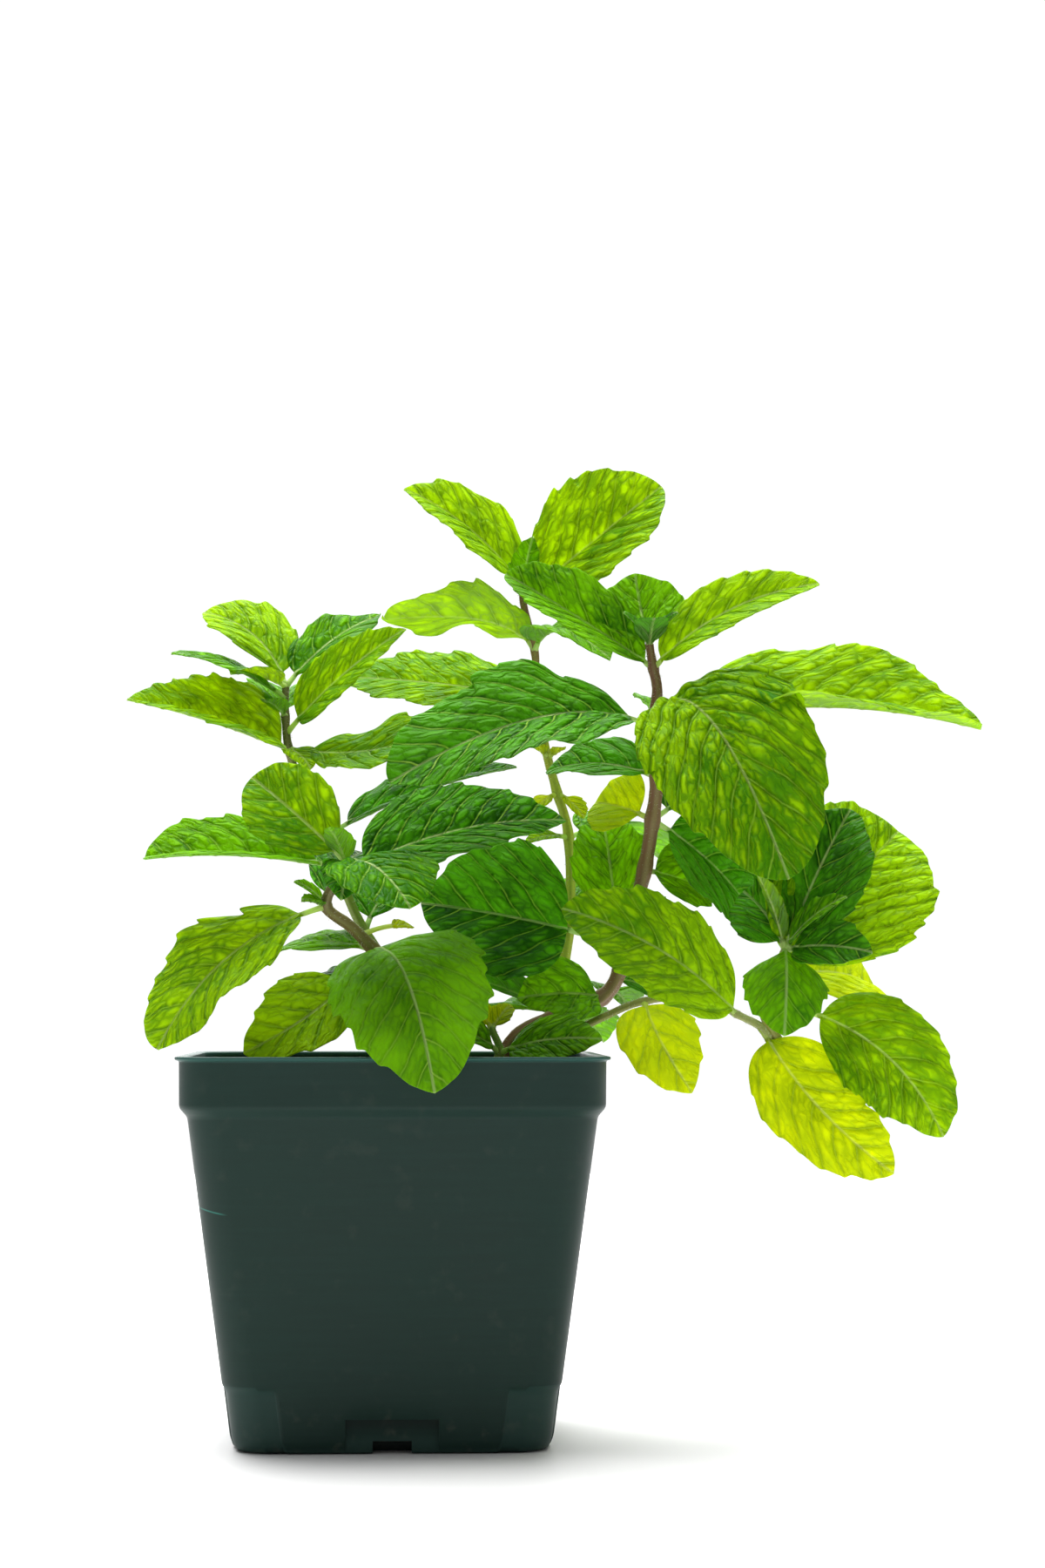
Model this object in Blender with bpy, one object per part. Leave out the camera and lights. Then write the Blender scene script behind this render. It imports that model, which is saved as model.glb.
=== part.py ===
# A potted mint plant: a square nursery pot, its potting mix and six leafy stems.
# World axes: +Z up, -Y is the front, the origin is the centre of the pot's flat underside.
# Tables hold millimetres; MM turns them into the metres that the objects are built in.

import math
from collections import namedtuple

import bmesh
import bpy
from mathutils import Matrix, Vector, noise

MM = 0.001

# pot: half widths and heights of its outside
POT_HEIGHT = 97.4
LIP_HALF = 53.6
LIP_THICK = 1.0
LIP_SLOPE = 0.2
BAND_HALF = 52.5
BAND_FLARE = 0.1
BAND_LOW = 84.9
BODY_TOP = 82.6
BODY_HALF_TOP = 50.6
BODY_HALF_FOOT = 40.0
FOOT_ROUND = 3.0
FOOT_RISE = 0.9
BODY_CORNER = 9.0
FOOT_CORNER = 7.0
CORNER_STEPS = 5

# pot: corner recesses at the foot, where stacked pots grip each other
RECESS_TOP = 15.0
RECESS_WIDE = 13.5
RECESS_DEEP = 0.7
RECESS_LEDGE = 1.6
RECESS_SLOPE = 1.0

# pot: walls, floor, side pockets and drain slots
WALL = 1.4
FOOT_WALL = 3.2
FOOT_WALL_TOP = 11.0
FOOT_WALL_SLOPE = 4.0
FLOOR = 2.4
POCKET_WIDE = 23.0
POCKET_TALL = 8.6
POCKET_DEEP = 1.6
SLOT_WIDE = 9.6
SLOT_TALL = 3.2
SLOT_REACH = 8.0
CUT_PAST = 3.0

# potting mix
FIT = 0.35
SOIL_TOP = 88.0
SOIL_ROUGH = 2.2
SOIL_RINGS = (0.88, 0.7, 0.5, 0.28)
LUMP_SIZE = 9.0
NOISE_START = Vector((3.1, 7.7, 1.3))

# leaves and stems
BLADE_HALF_THICK = 0.4
STALK_HALF_WIDE = 0.75
STALK_HALF_THICK = 0.65
STALK_EDGE_HALF_THICK = 0.3
STALK_ROWS = (0.0, 0.55, 1.0)
STALK_WIDEST_SHARE = 0.12
ROOT_DEPTH = 0.25
TOOTH_LENGTHS = (12, 24, 38, 50)
TOOTH_DEPTH = 0.09
TOOTH_PEAK = 0.65
TOOTH_LIMIT = 1.3
OUTLINE_POWER = 1.25
CURL = 0.12
WAVES = 2
WAVE_STARTS = {-1: 0.4, 1: 2.2}
WAVE_FULL_FROM = 0.25
INNER = 0.5
STEM_SIDES = 8

FORM = {
    "arch": 0.08,
    "skew": 0.5,
    "bend": 0.0,
    "fold": 22,
    "stalk": 0.12,
    "belly": 0.4,
    "twist": 0,
    "lobe": 0.0,
    "wave": 0.0,
}
Leaf = namedtuple("Leaf", ["at", "tip", "face", "width", *FORM])


def leaf(at, tip, face, width, **form):
    """One leaf: the stem point it grows from, its tip, the way its upper face looks, its width.

    arch is the rise of the midrib and skew where along the leaf it is highest, both as shares
    of its length; bend curves the midrib to the leaf's right; fold lifts the two halves from
    the midrib and twist turns the blade about it, in degrees; stalk is the bare share of the
    length and belly the place of the widest part along the blade; lobe draws the base back
    beside the stalk; wave ripples the margin, in millimetres.
    """
    return Leaf(at, tip, face, width, **{**FORM, **form})


# each stem is a list of points x, y, z and a radius, from its foot in the mix to its tip
STEMS = {
    "stem_tall": [
        (38, 16, 76, 1.7),
        (39, 16, 90, 1.7),
        (43, 18, 108, 1.6),
        (47, 22, 132, 1.3),
        (47, 25, 155, 1.2),
        (44, 26, 167, 1.15),
        (41, 28, 179, 1.1),
        (39, 29, 193, 1.0),
        (38, 29, 206, 0.9),
        (35, 30, 219, 0.9),
        (35, 30, 223, 0.8),
    ],
    "stem_main": [
        (27, -1, 76, 1.9),
        (28, -1, 93, 1.9),
        (32, -2, 102, 1.8),
        (42, -4, 107, 1.8),
        (54, -6, 112, 1.8),
        (59, -6, 120, 1.8),
        (62, -6, 133, 1.7),
        (65, -7, 145, 1.7),
        (67, -8, 158, 1.7),
        (68, -10, 169, 1.6),
        (67, -12, 182, 1.5),
        (68, -12, 191, 1.3),
        (67, -12, 197, 1.2),
        (66, -12, 203, 0.9),
    ],
    "stem_left": [
        (20, 6, 76, 1.4),
        (19, 6, 92, 1.4),
        (6, 8, 111, 1.35),
        (-4, 11, 124, 1.3),
        (-11, 14, 136, 1.2),
        (-18, 17, 155, 1.1),
        (-25, 18, 169, 1.05),
        (-28, 18, 178, 1.0),
        (-29, 19, 187, 0.95),
        (-29, 20, 195, 0.8),
    ],
    "stem_front": [
        (17, -5, 76, 1.6),
        (16, -5, 91, 1.6),
        (6, -10, 111, 1.5),
        (-5, -18, 124, 1.5),
        (-11, -23, 130, 1.4),
        (-17, -27, 135, 1.3),
        (-14, -29, 142, 1.1),
        (-12, -30, 146, 0.8),
    ],
    "stem_trailing": [
        (34, -11, 76, 1.2),
        (36, -11, 92, 1.1),
        (43, -12, 101, 1.0),
        (56, -14, 108, 0.9),
        (64, -16, 111, 0.85),
        (74, -18, 112, 0.8),
        (81, -20, 111, 0.8),
        (87, -22.5, 107.8, 0.85),
        (93.5, -26, 104, 1.0),
        (96, -27, 98, 0.9),
    ],
    "stem_low": [
        (23, -20, 76, 1.2),
        (24, -20, 91, 1.2),
        (27, -21, 98, 1.0),
        (25, -19, 104, 0.8),
    ],
}

# the trailing stem's end, which turns up from its last joint
TRAILING_SHOOT = [
    (100.6, -26, 96, 1.3),
    (95.5, -26, 104, 1.3),
    (93, -26, 111, 1.1),
    (95, -27, 117, 1.0),
    (99, -28, 124, 0.8),
]

LEAVES = {
    "stem_tall": [
        leaf(10, (2.5, 22, 248.7), (0.42, -0.68, 0.6), 26, arch=0.05, bend=0.05, fold=24, belly=0.36),
        leaf(9.2, (72, 20, 249.5), (-0.35, -0.87, 0.36), 36, arch=0.05, bend=0.03, fold=30, belly=0.5),
        leaf(10, (37, 15, 235), (0, -0.9, 0.4), 9),
        leaf(10, (31, 38, 234), (0, -0.4, 0.9), 9),
        leaf(
            8, (-2.5, 14, 212.5), (0.1, 0.35, 0.93), 22,
            arch=0.14, skew=0.15, belly=0.6, twist=20, wave=2.0,
        ),
        leaf(8, (57, 6, 201), (0.2, -0.6, 0.75), 21, arch=0.22, skew=0.25),
        leaf(7, (-16, 45, 200), (0.05, -0.62, 0.78), 28, arch=0.02, fold=15),
        leaf(7, (58, 48, 188), (0, -0.4, 0.9), 20, arch=0.1, fold=15),
        leaf(5.8, (37.5, 23, 179.5), (-0.3, -0.3, 0.9), 5, stalk=0.3),
        leaf(5.8, (46, 24, 179), (0.3, -0.3, 0.9), 5, stalk=0.3),
        leaf(5, (37, 21, 161), (-0.2, -0.5, 0.8), 6, stalk=0.25),
        leaf(5, (51, 22, 160), (0.2, -0.5, 0.8), 7, stalk=0.25),
        leaf(4, (35, 16, 153), (0, -0.5, 0.8), 6, stalk=0.25),
        leaf(4, (76, 64, 150), (0, -0.3, 0.95), 22, arch=0.12),
        leaf(3, (34, 62, 138), (0, -0.2, 0.98), 26, arch=0.14),
        leaf(3, (76, 50, 134), (0, -0.3, 0.95), 22, arch=0.14),
        leaf(2, (20, 48, 103), (0, -0.3, 0.95), 20, arch=0.1),
        leaf(2, (58, 50, 100), (0, -0.3, 0.95), 17, arch=0.1),
    ],
    "stem_main": [
        leaf(12, (29, -2, 222.5), (0.23, -0.87, 0.44), 23, arch=0.02, fold=38, stalk=0.06, belly=0.5),
        leaf(12, (109.3, -20, 218), (-0.2, -0.75, 0.6), 19, bend=-0.05, fold=28, stalk=0.06),
        leaf(13, (63, -2, 223), (0, -0.95, 0.3), 25, arch=-0.1, fold=20, stalk=0.05),
        leaf(13, (66, -28, 208), (0, 0.3, 1), 9, stalk=0.05),
        leaf(13, (59, -17, 211), (0.3, -0.3, 0.9), 7, stalk=0.05),
        leaf(13, (73, -17, 211), (-0.3, -0.3, 0.9), 7, stalk=0.05),
        leaf(
            10.4, (97.5, -48, 141), (-0.1, -0.85, 0.5), 45,
            arch=0.22, skew=0.16, bend=-0.08, fold=12, belly=0.54,
        ),
        leaf(10.4, (84, 36, 176), (0, -0.3, 0.95), 27, arch=0.12),
        leaf(10, (-1, -40, 165), (-0.1, -0.7, 0.7), 37, arch=0.14, skew=0.42, belly=0.5, wave=1.5),
        leaf(10, (149, -30, 180), (0.05, -0.5, 0.85), 41, arch=0.06, bend=-0.03, fold=36, wave=1.5),
        leaf(9, (40, 4, 171), (0, -0.6, 0.8), 20, arch=0.1, stalk=0.1),
        leaf(8, (53, 4, 163), (0.1, -0.95, 0.3), 21, stalk=0.2),
        leaf(8, (95, 8, 133), (0.1, -0.8, 0.6), 32),
        leaf(8, (100, 24, 164), (0, -0.4, 0.9), 25, arch=0.12),
        leaf(5, (55, 8, 160), (0, -0.9, 0.4), 22, stalk=0.35),
        leaf(5.4, (7, -14, 136), (-0.15, -0.9, 0.38), 40, arch=0.06, fold=22, stalk=0.3),
        leaf(4, (31.5, -20, 111.5), (0, -0.88, 0.48), 19, stalk=0.08),
        leaf(4.6, (68, 4, 113), (0.3, -0.6, 0.6), 11),
        leaf(7, (84, 2, 139), (0, -0.8, 0.6), 22, arch=0.05),
        leaf(4, (63, 25, 109), (0, -0.3, 0.95), 14, arch=0.1),
        leaf(3, (20, 8, 117), (0.2, 0.6, 0.8), 12),
    ],
    "stem_left": [
        leaf(9, (-51.5, 34, 216.5), (0.2, -0.55, 0.8), 25, bend=0.1, fold=20, belly=0.55),
        leaf(9, (-4, 36, 216), (-0.2, -0.6, 0.75), 18, fold=20, wave=1),
        leaf(9, (-43, 6, 197), (0, -0.1, 1), 12),
        leaf(8.6, (-59, 12, 203), (0.2, -0.2, 0.97), 23, fold=8),
        leaf(7.5, (3, 2, 208.5), (-0.45, -0.75, 0.5), 19, arch=0.05, fold=25, belly=0.34),
        leaf(8, (-30, 54, 196), (0, -0.3, 0.95), 22, arch=0.1),
        leaf(8, (-34, 7, 190), (-0.2, -0.4, 0.9), 7),
        leaf(7, (-70, 5, 190), (0.1, -0.5, 0.85), 37, arch=0.03, fold=28, stalk=0.05, belly=0.26),
        leaf(7, (9, -8, 180), (0, -0.65, 0.75), 25, arch=-0.07, fold=15, belly=0.62, wave=1.2),
        leaf(7, (-22, 8, 172), (0.2, -0.6, 0.7), 10),
        leaf(5, (33, 25, 174), (0, -0.3, 0.95), 22, arch=0.05),
        leaf(5, (-36, 60, 160), (0, -0.3, 0.95), 22, arch=0.1),
        leaf(3.5, (4, 48, 142), (0, -0.3, 0.95), 21, arch=0.12),
        leaf(2.4, (-17, 42, 104), (0, -0.3, 0.95), 20, arch=0.1),
    ],
    "stem_front": [
        leaf(7, (-36, -24, 167.5), (-0.1, -0.9, 0.4), 23, arch=0.06, fold=15, belly=0.54),
        leaf(7, (4, -58, 133.5), (0.2, -0.72, 0.62), 28, arch=0.12, fold=12, belly=0.5),
        leaf(7, (-16, -39, 154), (-0.2, -0.3, 0.9), 8, stalk=0.05),
        leaf(7, (-13, -42, 136), (0.1, -0.9, 0.3), 13, stalk=0.05),
        leaf(6.6, (-63, -22, 147), (-0.05, -0.5, 0.85), 24, arch=0.05, bend=0.0, fold=33, belly=0.6),
        leaf(6, (44, -18, 157), (-0.1, -0.66, 0.74), 31, arch=0.09, belly=0.36),
        leaf(
            5, (-58, -40, 99), (-0.4, -0.7, 0.6), 29,
            arch=0.1, bend=0.05, fold=18, belly=0.48, wave=1.5,
        ),
        leaf(5, (-8, 10, 150), (0, -0.3, 0.95), 18),
        leaf(5, (-25, -30, 141), (0, -0.5, 0.8), 5),
        leaf(5, (-23, -34, 136), (0, -0.5, 0.8), 5),
        leaf(
            3, (10, -62, 89), (-0.1, -0.8, 0.55), 39,
            arch=0.16, skew=0.35, bend=-0.06, fold=8, belly=0.46, lobe=0.12,
        ),
        leaf(3, (-37, -38, 98), (-0.35, -0.9, 0.3), 24, arch=0.06, bend=-0.11, fold=20, stalk=0.3),
        leaf(3, (-33, 5, 123), (0, -0.35, 0.93), 20, fold=10),
        leaf(2.6, (-24, 16, 114), (0, -0.5, 0.85), 20, fold=10),
        leaf(3.6, (5, -10, 130), (0, -0.5, 0.8), 5, stalk=0.6),
    ],
    "stem_trailing": [
        leaf(
            4, (75, -30, 88), (0.1, -0.85, 0.35), 21,
            arch=0.1, bend=0.07, fold=10, belly=0.36, lobe=0.1,
        ),
        leaf(7, (42, -36, 134), (0.1, -0.85, 0.5), 29, bend=0.03, fold=15, stalk=0.03, belly=0.45),
        leaf(7.9, (125, -35, 68), (0.2, -0.95, 0.15), 27, arch=0.06, bend=0.08, fold=12, stalk=0.08),
    ],
    "stem_low": [
        leaf(2, (52, -38, 101.5), (-0.1, -0.8, 0.6), 15, fold=10),
        leaf(2, (6, -28, 107), (0.1, -0.6, 0.8), 14),
        leaf(3, (30, -14, 110), (0.2, -0.5, 0.8), 6),
        leaf(3, (19, -15, 112), (-0.2, -0.5, 0.8), 6),
    ],
}

# leaves of the trailing stem's upturned end
SHOOT_LEAVES = [
    leaf(2, (138, -32, 77), (0.3, -0.9, 0.2), 29, bend=-0.12, fold=12, stalk=0.25, belly=0.44),
    leaf(4, (96, -50, 102.5), (0, -0.75, 0.65), 22, arch=0.15, fold=-18, stalk=0.06, belly=0.4),
    leaf(4, (89.5, -18, 139), (-0.3, -0.8, 0.5), 20, bend=0.05),
    leaf(4, (91, -36, 143), (0.3, 0.5, 0.5), 6, fold=40),
    leaf(4, (117, -20, 160), (-0.3, -0.85, 0.4), 32, arch=0.05),
    leaf(3, (131, -8, 155), (-0.05, -0.95, 0.2), 46, arch=0.08, belly=0.5),
    leaf(4, (119, -42, 123), (0, -0.8, 0.5), 16),
    leaf(3, (128, 14, 114), (0, -0.8, 0.5), 34),
    leaf(2, (106, 20, 106), (0, -0.3, 0.95), 14, arch=0.1),
    leaf(4, (113, -40, 137), (-0.3, -0.6, 0.7), 9, fold=30),
]

# colour, roughness
FINISHES = {
    "pot": ((0.018, 0.040, 0.036), 0.42),
    "soil": ((0.045, 0.028, 0.018), 0.95),
    "stem_tall": ((0.130, 0.300, 0.012), 0.5),
    "stem_main": ((0.060, 0.210, 0.010), 0.5),
    "stem_left": ((0.090, 0.270, 0.012), 0.5),
    "stem_front": ((0.075, 0.250, 0.010), 0.5),
    "stem_trailing": ((0.120, 0.310, 0.010), 0.5),
    "stem_low": ((0.050, 0.170, 0.012), 0.5),
}


def clear_scene():
    for old in list(bpy.data.objects):
        bpy.data.objects.remove(old, do_unlink=True)


def material(name):
    colour, roughness = FINISHES[name]
    made = bpy.data.materials.new(name)
    made.use_nodes = True
    shader = made.node_tree.nodes["Principled BSDF"]
    shader.inputs["Base Color"].default_value = (*colour, 1.0)
    shader.inputs["Roughness"].default_value = roughness
    shader.inputs["Metallic"].default_value = 0.0
    return made


def add_object(name, points, faces, finish=None):
    """Make an object from points in millimetres."""
    mesh = bpy.data.meshes.new(name)
    mesh.from_pydata([Vector(p) * MM for p in points], [], faces)
    made = bpy.data.objects.new(name, mesh)
    bpy.context.scene.collection.objects.link(made)
    if finish:
        mesh.materials.append(material(finish))
    return made


def face_outwards(made):
    shape = bmesh.new()
    shape.from_mesh(made.data)
    bmesh.ops.triangulate(shape, faces=shape.faces)
    bmesh.ops.recalc_face_normals(shape, faces=shape.faces)
    shape.to_mesh(made.data)
    shape.free()


def apply_modifiers(made):
    graph = bpy.context.evaluated_depsgraph_get()
    result = bpy.data.meshes.new_from_object(made.evaluated_get(graph))
    made.modifiers.clear()
    made.data = result


def combine(made, others, operation, solver):
    """Join or cut made by a list of objects, then remove them."""
    group = bpy.data.collections.new(made.name + "_parts")
    bpy.context.scene.collection.children.link(group)
    for other in others:
        group.objects.link(other)
    change = made.modifiers.new(operation.lower(), "BOOLEAN")
    change.operation = operation
    change.solver = solver
    change.operand_type = "COLLECTION"
    change.collection = group
    apply_modifiers(made)
    for other in others:
        bpy.data.objects.remove(other, do_unlink=True)
    bpy.data.collections.remove(group)


# pot


# the height from which the wall has its plain thickness
THIN_FROM = FOOT_WALL_TOP + FOOT_WALL_SLOPE


def body_half(height):
    """Half the outside width of the pot's body at a height."""
    return BODY_HALF_FOOT + (BODY_HALF_TOP - BODY_HALF_FOOT) * height / BODY_TOP


def square_ring(half, corner, height, inset=0.0):
    """A square with round corners. inset pulls in the stretch near each corner."""
    ring = []
    low = half - RECESS_WIDE - RECESS_SLOPE / 2
    high = low + RECESS_SLOPE
    for quarter in range(4):
        turn = Matrix.Rotation(quarter * math.pi / 2, 3, "Z")
        side = [(half, low), (half - inset, high)]
        centre = half - inset - corner
        for n in range(CORNER_STEPS + 1):
            angle = n * math.pi / 2 / CORNER_STEPS
            side.append((centre + corner * math.cos(angle), centre + corner * math.sin(angle)))
        side += [(high, half - inset), (low, half)]
        ring += [turn @ Vector((x, y, height)) for x, y in side]
    return ring


def loft(rings):
    """Skin a stack of equal rings into a closed body."""
    count = len(rings[0])
    points = [p for ring in rings for p in ring]
    faces = []
    for row in range(len(rings) - 1):
        for n in range(count):
            a = row * count + n
            b = row * count + (n + 1) % count
            faces.append((a, b, b + count, a + count))
    faces.append(tuple(reversed(range(count))))
    faces.append(tuple(range((len(rings) - 1) * count, len(rings) * count)))
    return points, faces


def box(name, low, high):
    points = [(x, y, z) for z in (low[2], high[2]) for x, y in corners(low, high)]
    faces = [(3, 2, 1, 0), (4, 5, 6, 7), (0, 1, 5, 4), (1, 2, 6, 5), (2, 3, 7, 6), (3, 0, 4, 7)]
    return add_object(name, points, faces)


def corners(low, high):
    return [(low[0], low[1]), (high[0], low[1]), (high[0], high[1]), (low[0], high[1])]


def pot_rings():
    """Rings up the outside, over the lip and down the inside to the floor."""
    ledge = RECESS_TOP + RECESS_LEDGE
    return [
        square_ring(body_half(0) - FOOT_ROUND, FOOT_CORNER, 0),
        square_ring(body_half(0) - FOOT_RISE, BODY_CORNER, FOOT_RISE, RECESS_DEEP),
        square_ring(body_half(FOOT_ROUND), BODY_CORNER, FOOT_ROUND, RECESS_DEEP),
        square_ring(body_half(RECESS_TOP), BODY_CORNER, RECESS_TOP, RECESS_DEEP),
        square_ring(body_half(ledge), BODY_CORNER, ledge),
        square_ring(BODY_HALF_TOP, BODY_CORNER, BODY_TOP),
        square_ring(BAND_HALF, BODY_CORNER, BAND_LOW),
        square_ring(BAND_HALF + BAND_FLARE, BODY_CORNER, POT_HEIGHT - LIP_THICK),
        square_ring(LIP_HALF, BODY_CORNER, POT_HEIGHT - LIP_THICK + LIP_SLOPE),
        square_ring(LIP_HALF, BODY_CORNER, POT_HEIGHT),
        square_ring(BAND_HALF - WALL, BODY_CORNER, POT_HEIGHT),
        square_ring(BAND_HALF - WALL, BODY_CORNER, BAND_LOW),
        square_ring(BODY_HALF_TOP - WALL, BODY_CORNER, BODY_TOP),
        square_ring(cavity_half(THIN_FROM), BODY_CORNER, THIN_FROM),
        square_ring(cavity_half(FOOT_WALL_TOP), BODY_CORNER, FOOT_WALL_TOP),
        square_ring(cavity_half(FLOOR), BODY_CORNER, FLOOR),
    ]


def cavity_half(height):
    """Half the width of the space inside the pot, below the rim."""
    return body_half(height) - (WALL if height >= THIN_FROM else FOOT_WALL)


def add_pot():
    points, faces = loft(pot_rings())
    pot = add_object("pot", points, faces, "pot")
    face_outwards(pot)
    cutters = []
    for quarter in range(4):
        turn = Matrix.Rotation(quarter * math.pi / 2, 4, "Z")
        cutters.append(side_cutter("pocket", POCKET_WIDE, POCKET_TALL, POCKET_DEEP, turn))
        cutters.append(side_cutter("slot", SLOT_WIDE, SLOT_TALL, SLOT_REACH, turn))
    combine(pot, cutters, "DIFFERENCE", "EXACT")


def side_cutter(name, wide, tall, deep, turn):
    """A block that cuts into the foot of one side of the pot, in the middle."""
    outer = body_half(tall)
    low = (-wide / 2, -outer - CUT_PAST, -CUT_PAST)
    cutter = box(name, low, (wide / 2, deep - outer, tall))
    cutter.data.transform(turn)
    cutter.hide_render = True
    cutter.display_type = "WIRE"
    return cutter


# potting mix


def add_soil():
    """The root ball: it fills the pot to below the rim and has a plain hole for each stem."""
    body = BODY_HALF_TOP - WALL - FIT
    band = BAND_HALF - WALL - FIT
    rings = [
        square_ring(cavity_half(FLOOR) - FIT, BODY_CORNER, FLOOR + FIT),
        square_ring(cavity_half(FOOT_WALL_TOP) - FIT, BODY_CORNER, FOOT_WALL_TOP),
        square_ring(cavity_half(THIN_FROM) - FIT, BODY_CORNER, THIN_FROM + FIT),
        square_ring(body, BODY_CORNER, BODY_TOP),
        square_ring(band, BODY_CORNER, BAND_LOW + FIT),
        square_ring(band, BODY_CORNER, SOIL_TOP),
    ]
    points, faces = loft(rings)
    faces.pop()
    count = len(rings[0])
    centre_rings(points, faces, rings[-1], (len(rings) - 1) * count)
    soil = add_object("soil", points, faces, "soil")
    face_outwards(soil)
    combine(soil, stem_holes(), "DIFFERENCE", "EXACT")


def centre_rings(points, faces, rim, start):
    """Close the mix's rough top with shrinking rings round its middle."""
    count = len(rim)
    last = start
    for share in SOIL_RINGS:
        first = len(points)
        for p in rim:
            spot = Vector((p.x * share, p.y * share, 0))
            lump = noise.noise(spot / LUMP_SIZE + NOISE_START) * SOIL_ROUGH
            points.append(Vector((spot.x, spot.y, SOIL_TOP + lump)))
        for n in range(count):
            m = (n + 1) % count
            faces.append((last + n, last + m, first + m, first + n))
        last = first
    points.append(Vector((0, 0, SOIL_TOP)))
    middle = len(points) - 1
    for n in range(count):
        faces.append((last + n, last + (n + 1) % count, middle))


# stems


def stem_point(path, at):
    """A point on a stem by its place in the list, whole or between two points."""
    n = min(int(at), len(path) - 2)
    low, high = Vector(path[n][:3]), Vector(path[n + 1][:3])
    return low.lerp(high, at - n)


def tube(name, path, extra=0.0, drop=0.0):
    """A closed tube along a stem. extra widens it and drop lengthens its foot."""
    centres = [Vector(p[:3]) for p in path]
    centres[0].z -= drop
    across = Vector((1, 0, 0))
    points, faces = [], []
    for n, centre in enumerate(centres):
        ahead = centres[min(n + 1, len(centres) - 1)] - centres[max(n - 1, 0)]
        ahead.normalize()
        across = (across - ahead * across.dot(ahead)).normalized()
        up = ahead.cross(across)
        radius = path[n][3] + extra
        for k in range(STEM_SIDES):
            angle = 2 * math.pi * k / STEM_SIDES
            points.append(centre + across * (radius * math.cos(angle)) + up * (radius * math.sin(angle)))
    for n in range(len(centres) - 1):
        for k in range(STEM_SIDES):
            a = n * STEM_SIDES + k
            b = n * STEM_SIDES + (k + 1) % STEM_SIDES
            faces.append((a, b, b + STEM_SIDES, a + STEM_SIDES))
    faces.append(tuple(reversed(range(STEM_SIDES))))
    faces.append(tuple(range(len(points) - STEM_SIDES, len(points))))
    made = add_object(name, points, faces)
    face_outwards(made)
    return made


# leaves


class Frame:
    """Where one leaf's midrib runs and which way its face looks, at any place along it."""

    def __init__(self, root, spec):
        self.spec = spec
        self.root = root
        self.tip = Vector(spec.tip)
        chord = self.tip - root
        self.length = chord.length
        along = chord.normalized()
        face = Vector(spec.face)
        self.face = (face - along * face.dot(along)).normalized()
        rise = self.face * (2 * spec.arch * self.length)
        self.side = along.cross(self.face)
        sideways = self.side * (2 * spec.bend * self.length)
        self.crown = root + chord * spec.skew + rise + sideways

    def at(self, u):
        """Point, side and normal at the share u of the leaf's length."""
        point = self.root * (1 - u) ** 2 + self.crown * (2 * u * (1 - u)) + self.tip * u**2
        along = ((self.crown - self.root) * (1 - u) + (self.tip - self.crown) * u).normalized()
        turn = Matrix.Rotation(math.radians(self.spec.twist) * u, 3, along)
        side = turn @ self.side
        side = (side - along * side.dot(along)).normalized()
        return point, along, side, side.cross(along)

    def half_width(self, v):
        """Half the blade's width at the share v of the blade, without its teeth."""
        belly = self.spec.belly
        rise = OUTLINE_POWER * belly
        fall = OUTLINE_POWER - rise
        v = min(max(v, 0.0), 1.0)
        shape = (v / belly) ** rise * ((1 - v) / (1 - belly)) ** fall
        return max(shape * self.spec.width / 2, STALK_HALF_WIDE * (1 - v))

    def spot(self, v, across):
        """A point on the middle sheet of the blade and the normal there.

        across runs from -1 to 1 and may pass them a little at a tooth.
        """
        spec = self.spec
        u = spec.stalk + (1 - spec.stalk) * v
        point, along, side, normal = self.at(u)
        reach = self.half_width(v) * abs(across)
        fold = math.radians(spec.fold)
        rise = reach * (math.sin(fold) - CURL * abs(across))
        start = WAVE_STARTS[1 if across > 0 else -1]
        grown = across**2 * min(1, v / WAVE_FULL_FROM)
        rise += spec.wave * grown * math.sin(2 * math.pi * WAVES * v + start)
        back = spec.lobe * spec.width * (1 - v) ** 3 * abs(across)
        out = math.copysign(reach * math.cos(fold), across)
        return point + side * out + normal * rise - along * back, normal


def tooth_count(length):
    """Teeth on each side of a blade."""
    return 2 + sum(length > limit for limit in TOOTH_LENGTHS)


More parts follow.
